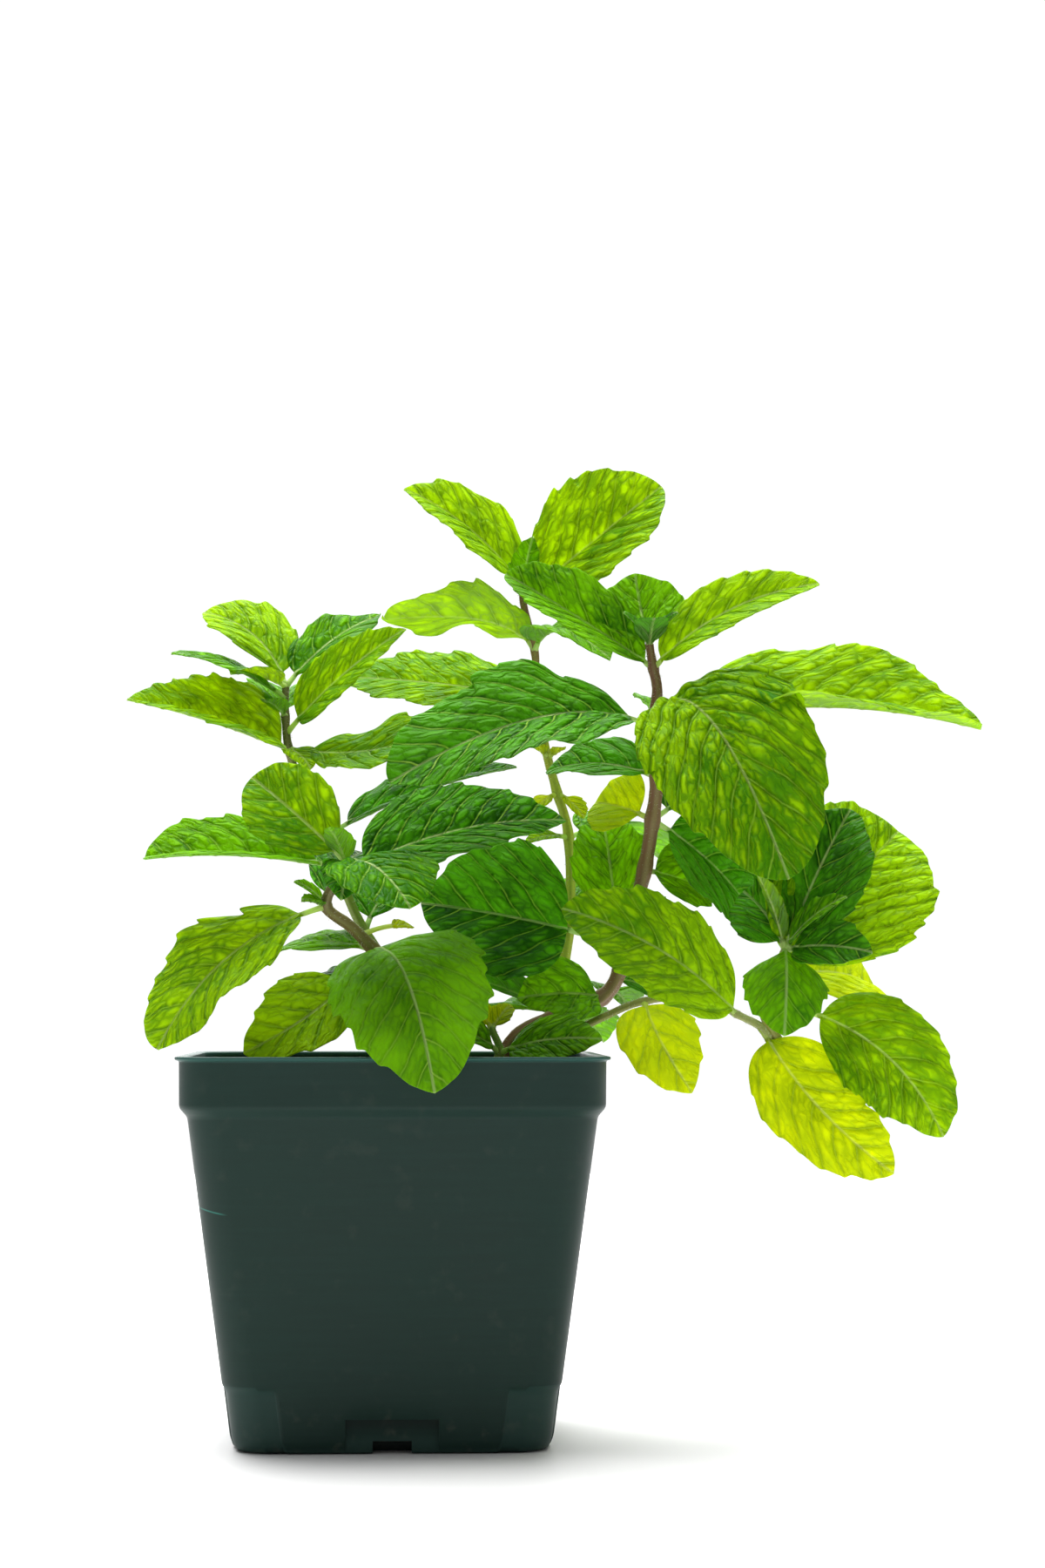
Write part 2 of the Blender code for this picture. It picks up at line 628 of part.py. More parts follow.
def leaf_sheet(frame):
    """The leaf's middle sheet: points with normals and half thicknesses, triangles and outline."""
    teeth = tooth_count(frame.length)
    spec = frame.spec
    spots, triangles = [], []

    def add(point, normal, thick=BLADE_HALF_THICK):
        spots.append((point, normal, thick))
        return len(spots) - 1

    stalk_rows = []
    for share in STALK_ROWS:
        point, _, side, normal = frame.at(spec.stalk * share)
        wide = min(STALK_HALF_WIDE, spec.width * STALK_WIDEST_SHARE)
        left = add(point - side * wide, normal, STALK_EDGE_HALF_THICK)
        rib = add(point, normal, STALK_HALF_THICK)
        right = add(point + side * wide, normal, STALK_EDGE_HALF_THICK)
        stalk_rows.append((left, rib, right))
    for (a, b, c), (d, e, f) in zip(stalk_rows, stalk_rows[1:]):
        triangles += [(a, b, e), (a, e, d), (b, c, f), (b, f, e)]

    ribs = [stalk_rows[-1][1]]
    ribs += [add(*frame.spot(n / teeth, 0.0)) for n in range(1, teeth)]
    tip = add(*frame.spot(1.0, 0.0))
    outline = []
    for sign, corner in ((-1, stalk_rows[-1][0]), (1, stalk_rows[-1][2])):
        inner = [None]
        inner += [add(*frame.spot(n / teeth, INNER * sign)) for n in range(1, teeth)]
        edge = [corner]
        for n in range(teeth):
            peak = (n + TOOTH_PEAK) / teeth
            grown = 1 + TOOTH_DEPTH * spec.width / 2 / max(frame.half_width(peak), 1)
            edge.append(add(*frame.spot(peak, sign * min(grown, TOOTH_LIMIT))))
            if n < teeth - 1:
                edge.append(add(*frame.spot((n + 1) / teeth, sign)))
        edge.append(tip)
        found = [(ribs[0], edge[0], inner[1]), (ribs[0], inner[1], ribs[1])]
        found += [(edge[0], edge[1], inner[1]), (inner[1], edge[1], edge[2])]
        for n in range(1, teeth - 1):
            found += [(ribs[n], inner[n], inner[n + 1]), (ribs[n], inner[n + 1], ribs[n + 1])]
            found.append((inner[n], edge[2 * n], edge[2 * n + 1]))
            found.append((inner[n], edge[2 * n + 1], inner[n + 1]))
            found.append((inner[n + 1], edge[2 * n + 1], edge[2 * n + 2]))
        last = teeth - 1
        found += [(ribs[last], inner[last], tip), (inner[last], edge[2 * last], edge[2 * last + 1])]
        found.append((inner[last], edge[2 * last + 1], tip))
        if sign < 0:
            triangles += [tuple(reversed(t)) for t in found]
            outline += [stalk_rows[0][0], stalk_rows[1][0]] + edge
        else:
            triangles += found
            outline += edge[-2::-1] + [stalk_rows[1][2], stalk_rows[0][2], stalk_rows[0][1]]
    return spots, triangles, outline


def leaf_solid(root, spec):
    """A closed leaf with its stalk: the middle sheet, thickened, with both faces split alike."""
    frame = Frame(root, spec)
    spots, triangles, outline = leaf_sheet(frame)
    count = len(spots)
    points = [p + n * t for p, n, t in spots] + [p - n * t for p, n, t in spots]
    faces = list(triangles)
    faces += [tuple(k + count for k in reversed(t)) for t in triangles]
    for a, b in zip(outline, outline[1:] + outline[:1]):
        faces += [(a, b, b + count), (a, b + count, a + count)]
    made = add_object("leaf", points, faces)
    face_outwards(made)
    return made


def root_point(path, spec):
    """Where a leaf's stalk starts: inside the stem, a little to the leaf's own side."""
    centre = stem_point(path, spec.at)
    radius = path[min(int(round(spec.at)), len(path) - 1)][3]
    towards = (Vector(spec.tip) - centre).normalized()
    return centre + towards * (radius * ROOT_DEPTH)


def leaf_plan():
    """Every leaf as node name, stem path and leaf."""
    plan = [(name, STEMS[name], spec) for name, specs in LEAVES.items() for spec in specs]
    plan += [("stem_trailing", TRAILING_SHOOT, spec) for spec in SHOOT_LEAVES]
    return plan


def add_stem(name):
    """One leafy stem: its tube with every leaf of it joined on."""
    stem = tube(name, STEMS[name])
    stem.data.materials.append(material(name))
    mine = [(path, spec) for node, path, spec in leaf_plan() if node == name]
    parts = [leaf_solid(root_point(path, spec), spec) for path, spec in mine]
    if name == "stem_trailing":
        parts.append(tube("shoot", TRAILING_SHOOT))
    combine(stem, parts, "UNION", "MANIFOLD")


def stem_holes():
    """Cutters for the holes in the mix: each stem's own tube, wider and deeper by the gap."""
    cutters = [tube(name + "_hole", path, extra=FIT, drop=FIT) for name, path in STEMS.items()]
    for cutter in cutters:
        cutter.hide_render = True
        cutter.display_type = "WIRE"
    return cutters


def main():
    clear_scene()
    add_pot()
    add_soil()
    for name in STEMS:
        add_stem(name)


main()
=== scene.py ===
# The looks of a potted mint plant: a square nursery pot, its potting mix and six leafy stems.
# World axes: +Z up, -Y is the front, the origin is the centre of the pot's flat underside.
# Tables and functions work in millimetres; MM turns them into metres when a mesh is made.
import math
from collections import namedtuple

import bmesh
import bpy
import numpy as np
from mathutils import Matrix, Vector, noise


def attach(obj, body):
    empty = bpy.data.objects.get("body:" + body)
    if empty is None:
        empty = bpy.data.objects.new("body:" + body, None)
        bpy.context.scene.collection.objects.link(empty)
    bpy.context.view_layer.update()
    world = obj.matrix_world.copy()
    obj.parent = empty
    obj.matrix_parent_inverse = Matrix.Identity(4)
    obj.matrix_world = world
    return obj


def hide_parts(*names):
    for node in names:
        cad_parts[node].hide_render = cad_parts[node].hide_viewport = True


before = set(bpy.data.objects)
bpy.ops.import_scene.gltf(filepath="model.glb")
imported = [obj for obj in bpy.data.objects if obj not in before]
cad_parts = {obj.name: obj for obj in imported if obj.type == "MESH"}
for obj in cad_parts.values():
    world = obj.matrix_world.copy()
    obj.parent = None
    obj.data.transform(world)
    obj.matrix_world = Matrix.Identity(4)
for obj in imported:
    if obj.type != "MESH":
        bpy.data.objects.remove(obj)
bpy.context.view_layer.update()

MM = 0.001
SEED = 11

# camera: where the photograph was taken from, in millimetres
CAMERA_AT = (0.0, -850.0, 110.0)
CAMERA_AIM = (33.6, 0.0, 167.7)
FOCAL_PIXELS = 3744.0
PHOTO_TALL_PIXELS = 1800.0
SENSOR = 36.0

# pot: half widths and heights of its outside
POT_HEIGHT = 97.4
LIP_HALF = 53.6
LIP_THICK = 1.0
BAND_HALF = 52.5
BAND_LOW = 84.9
BODY_TOP = 82.6
BODY_HALF_TOP = 50.6
BODY_HALF_FOOT = 40.0
FOOT_ROUND = 3.0
BODY_CORNER = 9.0
CORNER_STEPS = 16
WALL_STEPS = 6

# pot: corner recesses at the foot, where stacked pots grip each other
RECESS_TOP = 15.0
RECESS_WIDE = 13.5
RECESS_DEEP = 0.7
RECESS_LEDGE = 1.6
RECESS_SLOPE = 1.0

# pot: walls, floor, side pockets and drain slots
WALL = 1.4
FOOT_WALL = 3.2
FOOT_WALL_TOP = 11.0
FOOT_WALL_SLOPE = 4.0
THIN_FROM = FOOT_WALL_TOP + FOOT_WALL_SLOPE
FLOOR = 2.4
POCKET_WIDE = 23.0
POCKET_TALL = 8.6
POCKET_DEEP = 1.6
SLOT_WIDE = 9.6
SLOT_TALL = 3.2
SLOT_REACH = 8.0
CUT_PAST = 3.0

# potting mix
FIT = 0.35
SOIL_TOP = 88.0
SOIL_ROUGH = 2.2
LUMP_SIZE = 9.0
NOISE_START = Vector((3.1, 7.7, 1.3))

# leaves and stems
BLADE_THICK = 0.44
MARGIN_THICK = 0.26
STALK_HALF_WIDE = 0.75
STALK_HALF_THICK = 0.62
STALK_WIDEST_SHARE = 0.12
ROOT_DEPTH = 0.25
OUTLINE_POWER = 1.25
CURL = 0.12
WAVES = 2
WAVE_STARTS = {-1: 0.4, 1: 2.2}
WAVE_FULL_FROM = 0.25
GRID_STEP = 0.5
STEM_SIDES = 24
STEM_STEPS = 8

YOUNG = "leaf_young"
BRIGHT = "leaf_bright"
GREEN = "leaf_green"
DEEP = "leaf_deep"
FORM = {
    "arch": 0.08, "skew": 0.5, "bend": 0.0, "fold": 22, "stalk": 0.12, "belly": 0.4, "twist": 0,
    "lobe": 0.0, "wave": 0.0, "notches": (), "split": 0.0, "fade": 0.0, "quilt": 1.0,
}
Leaf = namedtuple("Leaf", ["finish", "tone", "at", "tip", "face", "width", *FORM])


def leaf(finish, tone, at, tip, face, width, **form):
    """One leaf: its finish, its tone from dark to light, which is partly the leaf's own colour and
    partly painted light and shade, the stem point it grows from, its tip, the way its upper
    face looks and its width.

    arch is the rise of the midrib and skew where along the leaf it is highest, both as shares
    of its length; bend curves the midrib to the leaf's right; fold lifts the two halves from
    the midrib and twist turns the blade about it, in degrees; stalk is the bare share of the
    length and belly the place of the widest part along the blade; lobe draws the base back
    beside the stalk; wave ripples the margin, in millimetres; notches are nicks in the margin,
    each with its side, its place along the blade and its depth; split and fade are painted
    light and shade, split making one half lighter than the other and fade the tip lighter than
    the base; quilt is how deep the net of creases is.
    """
    return Leaf(finish, tone, at, tip, face, width, **{**FORM, **form})


# each stem is a list of points x, y, z and a radius, from its foot in the mix to its tip
STEMS = {"stem_tall": [
    (38, 16, 76, 1.7), (39, 16, 90, 1.7), (43, 18, 108, 1.6), (47, 22, 132, 1.3), (47, 25, 155, 1.2),
    (44, 26, 167, 1.15), (41, 28, 179, 1.1), (39, 29, 193, 1.0), (38, 29, 206, 0.9), (35, 30, 219, 0.9),
    (35, 30, 223, 0.8),
], "stem_main": [
    (27, -1, 76, 1.9), (28, -1, 93, 1.9), (32, -2, 102, 1.8), (42, -4, 107, 1.8), (54, -6, 112, 1.8),
    (59, -6, 120, 1.8), (62, -6, 133, 1.7), (65, -7, 145, 1.7), (67, -8, 158, 1.7), (68, -10, 169, 1.6),
    (67, -12, 182, 1.5), (68, -12, 191, 1.3), (67, -12, 197, 1.2), (66, -12, 203, 0.9),
], "stem_left": [
    (20, 6, 76, 1.4), (19, 6, 92, 1.4), (6, 8, 111, 1.35), (-4, 11, 124, 1.3), (-11, 14, 136, 1.2),
    (-18, 17, 155, 1.1), (-25, 18, 169, 1.05), (-28, 18, 178, 1.0), (-29, 19, 187, 0.95),
    (-29, 20, 195, 0.8),
], "stem_front": [
    (17, -5, 76, 1.6), (16, -5, 91, 1.6), (6, -10, 111, 1.5), (-5, -18, 124, 1.5), (-11, -23, 130, 1.4),
    (-17, -27, 135, 1.3), (-14, -29, 142, 1.1), (-12, -30, 146, 0.8),
], "stem_trailing": [
    (34, -11, 76, 1.2), (36, -11, 92, 1.1), (43, -12, 101, 1.0), (56, -14, 108, 0.9), (64, -16, 111, 0.85),
    (74, -18, 112, 0.8), (81, -20, 111, 0.8), (87, -22.5, 107.8, 0.85), (93.5, -26, 104, 1.0),
    (96, -27, 98, 0.9),
], "stem_low": [
    (23, -20, 76, 1.2), (24, -20, 91, 1.2), (27, -21, 98, 1.0), (25, -19, 104, 0.8),
]}

# the trailing stem's end, which turns up from its last joint
TRAILING_SHOOT = [
    (100.6, -26, 96, 1.3), (95.5, -26, 104, 1.3), (93, -26, 111, 1.1), (95, -27, 117, 1.0),
    (99, -28, 124, 0.8),
]

LEAVES = {"stem_tall": [
    leaf(BRIGHT, 0.7, 10, (2.5, 22, 248.7), (0.42, -0.68, 0.6), 26, arch=0.05, bend=0.05, fold=24,
         belly=0.36),
    leaf(BRIGHT, 0.4, 9.2, (72, 20, 249.5), (-0.35, -0.87, 0.36), 36, arch=0.05, bend=0.03, fold=30,
         belly=0.5, notches=((1, 0.45, 1.2),), quilt=1.2),
    leaf(GREEN, -0.3, 10, (37, 15, 235), (0, -0.9, 0.4), 9),
    leaf(GREEN, 0.4, 10, (31, 38, 234), (0, -0.4, 0.9), 9),
    leaf(BRIGHT, 0.95, 8, (-2.5, 14, 212.5), (0.1, 0.35, 0.93), 22, arch=0.14, skew=0.15, belly=0.6,
         twist=20, wave=2.0, notches=((1, 0.45, 1.4), (0, 0.6, 1.2))),
    leaf(GREEN, 0.8, 8, (57, 6, 201), (0.2, -0.6, 0.75), 21, arch=0.22, skew=0.25),
    leaf(BRIGHT, 0.25, 7, (-16, 45, 200), (0.05, -0.62, 0.78), 28, arch=0.02, fold=15),
    leaf(GREEN, 0.4, 7, (58, 48, 188), (0, -0.4, 0.9), 20, arch=0.1, fold=15),
    leaf(YOUNG, 1.2, 5.8, (37.5, 23, 179.5), (-0.3, -0.3, 0.9), 5, stalk=0.3),
    leaf(YOUNG, 1.2, 5.8, (46, 24, 179), (0.3, -0.3, 0.9), 5, stalk=0.3),
    leaf(YOUNG, 1.4, 5, (37, 21, 161), (-0.2, -0.5, 0.8), 6, stalk=0.25),
    leaf(YOUNG, 1.4, 5, (51, 22, 160), (0.2, -0.5, 0.8), 7, stalk=0.25),
    leaf(BRIGHT, 0.5, 4, (35, 16, 153), (0, -0.5, 0.8), 6, stalk=0.25),
    leaf(GREEN, 0.4, 4, (76, 64, 150), (0, -0.3, 0.95), 22, arch=0.12),
    leaf(GREEN, 0.3, 3, (34, 62, 138), (0, -0.2, 0.98), 26, arch=0.14),
    leaf(GREEN, 0.4, 3, (76, 50, 134), (0, -0.3, 0.95), 22, arch=0.14),
    leaf(GREEN, 0.3, 2, (20, 48, 103), (0, -0.3, 0.95), 20, arch=0.1),
    leaf(GREEN, 0.3, 2, (58, 50, 100), (0, -0.3, 0.95), 17, arch=0.1),
], "stem_main": [
    leaf(GREEN, 0.6, 12, (29, -2, 222.5), (0.23, -0.87, 0.44), 23, arch=0.02, fold=38, stalk=0.06,
         belly=0.5),
    leaf(BRIGHT, 0.65, 12, (109.3, -20, 218), (-0.2, -0.75, 0.6), 19, bend=-0.05, fold=28, stalk=0.06),
    leaf(GREEN, 0.85, 13, (63, -2, 223), (0, -0.95, 0.3), 25, arch=-0.1, fold=20, stalk=0.05),
    leaf(DEEP, 0.6, 13, (66, -28, 208), (0, 0.3, 1), 9, stalk=0.05),
    leaf(DEEP, 0.7, 13, (59, -17, 211), (0.3, -0.3, 0.9), 7, stalk=0.05),
    leaf(DEEP, 0.7, 13, (73, -17, 211), (-0.3, -0.3, 0.9), 7, stalk=0.05),
    leaf(BRIGHT, 0.45, 10.4, (97.5, -48, 141), (-0.1, -0.85, 0.5), 45, arch=0.22, skew=0.16, bend=-0.08,
         fold=12, belly=0.54, split=0.1, fade=-0.4, quilt=1.3),
    leaf(GREEN, 0.6, 10.4, (84, 36, 176), (0, -0.3, 0.95), 27, arch=0.12),
    leaf(DEEP, 0.85, 10, (-1, -40, 165), (-0.1, -0.7, 0.7), 37, arch=0.14, skew=0.42, belly=0.5, wave=1.5,
         notches=((1, 0.62, 3.0),), split=0.1),
    leaf(BRIGHT, 0.4, 10, (149, -30, 180), (0.05, -0.5, 0.85), 41, arch=0.06, bend=-0.03, fold=36, wave=1.5,
         notches=((0, 0.5, 1.3),), quilt=0.85),
    leaf(DEEP, 0.9, 9, (40, 4, 171), (0, -0.6, 0.8), 20, arch=0.1, stalk=0.1),
    leaf(YOUNG, 1.4, 8, (53, 4, 163), (0.1, -0.95, 0.3), 21, stalk=0.2, quilt=0.7),
    leaf(DEEP, 1.1, 8, (95, 8, 133), (0.1, -0.8, 0.6), 32),
    leaf(DEEP, 0.5, 8, (100, 24, 164), (0, -0.4, 0.9), 25, arch=0.12),
    leaf(GREEN, 0.7, 5, (55, 8, 160), (0, -0.9, 0.4), 22, stalk=0.35),
    leaf(DEEP, 0.6, 5.4, (7, -14, 136), (-0.15, -0.9, 0.38), 40, arch=0.06, stalk=0.3, split=0.3),
    leaf(GREEN, 0.65, 4, (31.5, -20, 111.5), (0, -0.88, 0.48), 19, stalk=0.08),
    leaf(DEEP, 0.9, 4.6, (68, 4, 113), (0.3, -0.6, 0.6), 11),
    leaf(GREEN, 0.3, 7, (84, 2, 139), (0, -0.8, 0.6), 22, arch=0.05),
    leaf(GREEN, 0.3, 4, (63, 25, 109), (0, -0.3, 0.95), 14, arch=0.1),
    leaf(DEEP, 0.9, 3, (20, 8, 117), (0.2, 0.6, 0.8), 12),
], "stem_left": [
    leaf(BRIGHT, 0.65, 9, (-51.5, 34, 216.5), (0.2, -0.55, 0.8), 25, bend=0.1, fold=20, belly=0.55,
         notches=((1, 0.7, 1.2),)),
    leaf(GREEN, 0.4, 9, (-4, 36, 216), (-0.2, -0.6, 0.75), 18, fold=20, wave=1),
    leaf(BRIGHT, 0.3, 9, (-43, 6, 197), (0, -0.1, 1), 12),
    leaf(GREEN, 0.4, 8.6, (-59, 12, 203), (0.2, -0.2, 0.97), 23, fold=8),
    leaf(BRIGHT, 0.25, 7.5, (3, 2, 208.5), (-0.45, -0.75, 0.5), 19, arch=0.05, fold=25, belly=0.34),
    leaf(GREEN, 0.4, 8, (-30, 54, 196), (0, -0.3, 0.95), 22, arch=0.1),
    leaf(GREEN, 0.0, 8, (-34, 7, 190), (-0.2, -0.4, 0.9), 7),
    leaf(BRIGHT, 0.15, 7, (-70, 5, 190), (0.1, -0.5, 0.85), 37, arch=0.03, fold=28, stalk=0.05, belly=0.26),
    leaf(BRIGHT, 0.15, 7, (9, -8, 180), (0, -0.65, 0.75), 25, arch=-0.07, fold=15, belly=0.62, wave=1.2),
    leaf(BRIGHT, 0.5, 7, (-22, 8, 172), (0.2, -0.6, 0.7), 10),
    leaf(DEEP, 0.6, 5, (33, 25, 174), (0, -0.3, 0.95), 22, arch=0.05),
    leaf(DEEP, 0.8, 5, (-36, 60, 160), (0, -0.3, 0.95), 22, arch=0.1),
    leaf(DEEP, 0.9, 3.5, (4, 48, 142), (0, -0.3, 0.95), 21, arch=0.12),
    leaf(GREEN, 0.3, 2.4, (-17, 42, 104), (0, -0.3, 0.95), 20, arch=0.1),
], "stem_front": [
    leaf(BRIGHT, 0.25, 7, (-36, -24, 167.5), (-0.1, -0.9, 0.4), 23, arch=0.06, fold=15, belly=0.54,
         quilt=1.1),
    leaf(GREEN, 0.1, 7, (4, -58, 133.5), (0.2, -0.72, 0.62), 28, arch=0.12, fold=12, belly=0.5),
    leaf(GREEN, 0.2, 7, (-16, -39, 154), (-0.2, -0.3, 0.9), 8, stalk=0.05),
    leaf(DEEP, 0.5, 7, (-13, -42, 136), (0.1, -0.9, 0.3), 13, stalk=0.05),
    leaf(GREEN, 0.75, 6.6, (-63, -22, 147), (-0.05, -0.5, 0.85), 24, arch=0.05, fold=33, belly=0.6),
    leaf(DEEP, 0.6, 6, (44, -18, 157), (-0.1, -0.66, 0.74), 31, arch=0.09, belly=0.36),
    leaf(BRIGHT, 0.6, 5, (-58, -40, 99), (-0.4, -0.7, 0.6), 29, arch=0.1, bend=0.05, fold=18, belly=0.48,
         wave=1.5, notches=((1, 0.24, 2.4), (1, 0.42, 1.8))),
    leaf(DEEP, 0.5, 5, (-8, 10, 150), (0, -0.3, 0.95), 18),
    leaf(GREEN, 1.0, 5, (-25, -30, 141), (0, -0.5, 0.8), 5),
    leaf(GREEN, 1.0, 5, (-23, -34, 136), (0, -0.5, 0.8), 5),
    leaf(GREEN, 0.7, 3, (10, -62, 89), (-0.1, -0.8, 0.55), 39, arch=0.16, skew=0.35, bend=-0.06, fold=8,
         belly=0.46, lobe=0.12, quilt=0.45),
    leaf(BRIGHT, 1.0, 3, (-37, -38, 98), (-0.35, -0.9, 0.3), 24, arch=0.06, bend=-0.11, fold=20, stalk=0.3),
    leaf(GREEN, 0.8, 3, (-33, 5, 123), (0, -0.35, 0.93), 20, fold=10),
    leaf(DEEP, 0.5, 2.6, (-24, 16, 114), (0, -0.5, 0.85), 20, fold=10),
    leaf(YOUNG, 1.4, 3.6, (5, -10, 130), (0, -0.5, 0.8), 5, stalk=0.6),
], "stem_trailing": [
    leaf(YOUNG, 1.5, 4, (75, -30, 88), (0.1, -0.85, 0.35), 21, arch=0.1, bend=0.07, fold=10, belly=0.36,
         lobe=0.1, quilt=0.6),
    leaf(BRIGHT, 0.5, 7, (42, -36, 134), (0.1, -0.85, 0.5), 29, bend=0.03, fold=15, stalk=0.03, belly=0.45,
         fade=-0.5, quilt=0.9),
    leaf(YOUNG, 0.65, 7.9, (125, -35, 68), (0.2, -0.95, 0.15), 27, arch=0.06, bend=0.08, fold=12,
         stalk=0.08, notches=((0, 0.66, 2.2),), fade=0.1, quilt=0.65),
], "stem_low": [
    leaf(GREEN, 0.6, 2, (52, -38, 101.5), (-0.1, -0.8, 0.6), 15, fold=10),
    leaf(GREEN, 0.7, 2, (6, -28, 107), (0.1, -0.6, 0.8), 14),
    leaf(YOUNG, 0.6, 3, (30, -14, 110), (0.2, -0.5, 0.8), 6),
    leaf(YOUNG, 0.6, 3, (19, -15, 112), (-0.2, -0.5, 0.8), 6),
]}

# leaves of the trailing stem's upturned end
SHOOT_LEAVES = [
    leaf(BRIGHT, 0.1, 2, (138, -32, 77), (0.3, -0.9, 0.2), 29, bend=-0.12, fold=12, stalk=0.25, belly=0.44,
         split=0.1, fade=0.3),
    leaf(GREEN, 0.4, 4, (96, -50, 102.5), (0, -0.75, 0.65), 22, arch=0.15, fold=-18, stalk=0.06, quilt=0.5),
    leaf(DEEP, 0.6, 4, (89.5, -18, 139), (-0.3, -0.8, 0.5), 20, bend=0.05),
    leaf(BRIGHT, 0.5, 4, (91, -36, 143), (0.3, 0.5, 0.5), 6, fold=40),
    leaf(DEEP, 0.7, 4, (117, -20, 160), (-0.3, -0.85, 0.4), 32, arch=0.05, quilt=0.8),
    leaf(BRIGHT, 0.6, 3, (131, -8, 155), (-0.05, -0.95, 0.2), 46, belly=0.5, split=0.15, quilt=1.2),
    leaf(DEEP, 0.6, 4, (119, -42, 123), (0, -0.8, 0.5), 16),
    leaf(YOUNG, 1.0, 3, (128, 14, 114), (0, -0.8, 0.5), 34, quilt=0.7),
    leaf(GREEN, 0.4, 2, (106, 20, 106), (0, -0.3, 0.95), 14, arch=0.1),
    leaf(GREEN, 0.5, 4, (113, -40, 137), (-0.3, -0.6, 0.7), 9, fold=30),
]

# leaf detail: sizes in millimetres, and shares of a leaf's width or length
TIP_HALF_WIDE = 0.12
ROW_EVEN = 0.8
CURVED_LENGTH = 1.08
LEAST_ROWS = 14
LEAST_COLUMNS = 4
LOBE_COUNTS = (3, 8)
TOOTH_ROWS = 40
LOBE_LENGTH = 7.5
TEETH_A_LOBE = 1.4
TOOTH_PEAK = 0.72
TOOTH_DEPTH = 0.22
TOOTH_SIZES = (0.3, 1.0)
TOOTH_FORWARD = 0.7
TOOTH_RISE_POWER = 1.5
TEETH_FROM = (0.06, 0.3)
TEETH_IN_FROM = 0.55
NOTCH_HALF = 0.06
NOTCH_STEEP = 9
LOBE_DEPTH = 0.012
RUFFLE = 0.016
QUILT = 0.036
VEIN_LEAN = 0.95
VEIN_CURVE = 0.3
VEIN_WANDER = 0.08
VEIN_SWAY = 0.07
HALVES_APART = 0.3
VEINS_PAST_LOBES = 0.4
PILLOW_POWER = 2.2
PILLOW_UNEVEN = 0.25
LATERAL_HALF = 0.08
NET_ROWS = 2.3
NET_STEP = 2.4
RIB_HALF = 0.6
RIB_RISE = 0.6
RIB_SINK = 0.1
RIB_THINNING = 0.75
LATERAL_RISE = 0.16
BLADE_FULL_FROM = 0.07
STALK_STEP = 1.2
STALK_FLARE = 0.35

# stem detail
JOINT_SWELL = 0.22
JOINT_REACH = 0.16
STEM_SQUARE = 0.09
STEM_RIBS = 0.03
STEM_ROUGH = 0.02
TIP_AHEAD = 0.7
TIP_NARROW = 0.65
END_NARROW = 0.02
HAIRS_A_MM = 5
HAIR_LENGTH = 0.9
HAIR_THICK = 0.05
HAIR_SIZES = (0.6, 1.2)
HAIR_DROOP = 0.3

# pot and mix detail
POT_EDGE_ROUND = 0.8
ROUND_STEPS = 3
BEVEL = 0.25
BEVEL_FROM = 30
SOIL_STEPS = 34
CRUMBS = 900
CRUMB_SIZES = (0.5, 1.3)
CHIPS_ABOVE = 0.93
CHIP_SIZE = 2.2
CRUMB_LIFT = 0.25
CRUMB_ROUGH = (0.75, 1.15)
CRUMB_TILT = 0.6
FINE_LUMPS = ((2.6, 0.7), (1.1, 0.35))
RIM_GAP = 0.995
CRUMB_CORNERS = ((1, 0, 0), (0, 1, 0), (-1, 0, 0), (0, -1, 0), (0, 0, 1), (0, 0, -1))
CRUMB_FACES = (
    (0, 1, 4), (1, 2, 4), (2, 3, 4), (3, 0, 4),
    (1, 0, 5), (2, 1, 5), (3, 2, 5), (0, 3, 5),
)

# colours
# the leaf finishes are one tissue at four brightnesses, partly the leaves' own colour and partly painted
# light and shade for leaves that sit in light or in shadow
LEAF_FINISHES = {
    # deep and light colour of the upper face, colour of the light through it, how much passes
    YOUNG: ((0.22, 0.46, 0.004), (0.66, 0.86, 0.010), (0.94, 1.0, 0.02), 0.64),
    BRIGHT: ((0.028, 0.23, 0.003), (0.46, 0.80, 0.006), (0.78, 1.0, 0.015), 0.53),
    GREEN: ((0.012, 0.14, 0.003), (0.23, 0.58, 0.006), (0.62, 1.0, 0.015), 0.46),
    DEEP: ((0.004, 0.05, 0.004), (0.10, 0.37, 0.008), (0.44, 1.0, 0.02), 0.30),
}
LEAF_VEIN = (0.34, 0.60, 0.05)
LEAF_RIB = (0.72, 0.85, 0.34)
LEAF_BACK = (0.17, 0.36, 0.07)
LEAF_BACK_VEIN = (0.48, 0.62, 0.28)
STEM_COLOURS = {
    "stem_tall": ((0.55, 0.62, 0.05), (0.22, 0.09, 0.05)),
    "stem_main": ((0.24, 0.12, 0.06), (0.19, 0.08, 0.04)),
    "stem_left": ((0.30, 0.40, 0.05), (0.15, 0.14, 0.04)),
    "stem_front": ((0.22, 0.16, 0.05), (0.18, 0.13, 0.05)),
    "stem_trailing": ((0.30, 0.30, 0.05), (0.44, 0.48, 0.16)),
    "stem_low": ((0.30, 0.40, 0.04), (0.20, 0.38, 0.04)),
}
STEM_RIDGE = (0.32, 0.34, 0.12)
STEM_SPECK = (0.09, 0.05, 0.02)
HAIR_LIGHT = (0.75, 0.78, 0.62)
HAIR_DARK = (0.5, 0.52, 0.36)
POT_DARK = (0.004, 0.022, 0.016)
POT_LIGHT = (0.007, 0.030, 0.022)
POT_FLOW = (0.012, 0.042, 0.034)
# painted highlight: the colour the top of the lip is painted, lighter than the wall
POT_LIP_HIGHLIGHT = (0.024, 0.085, 0.070)
POT_DUST = (0.16, 0.15, 0.12)
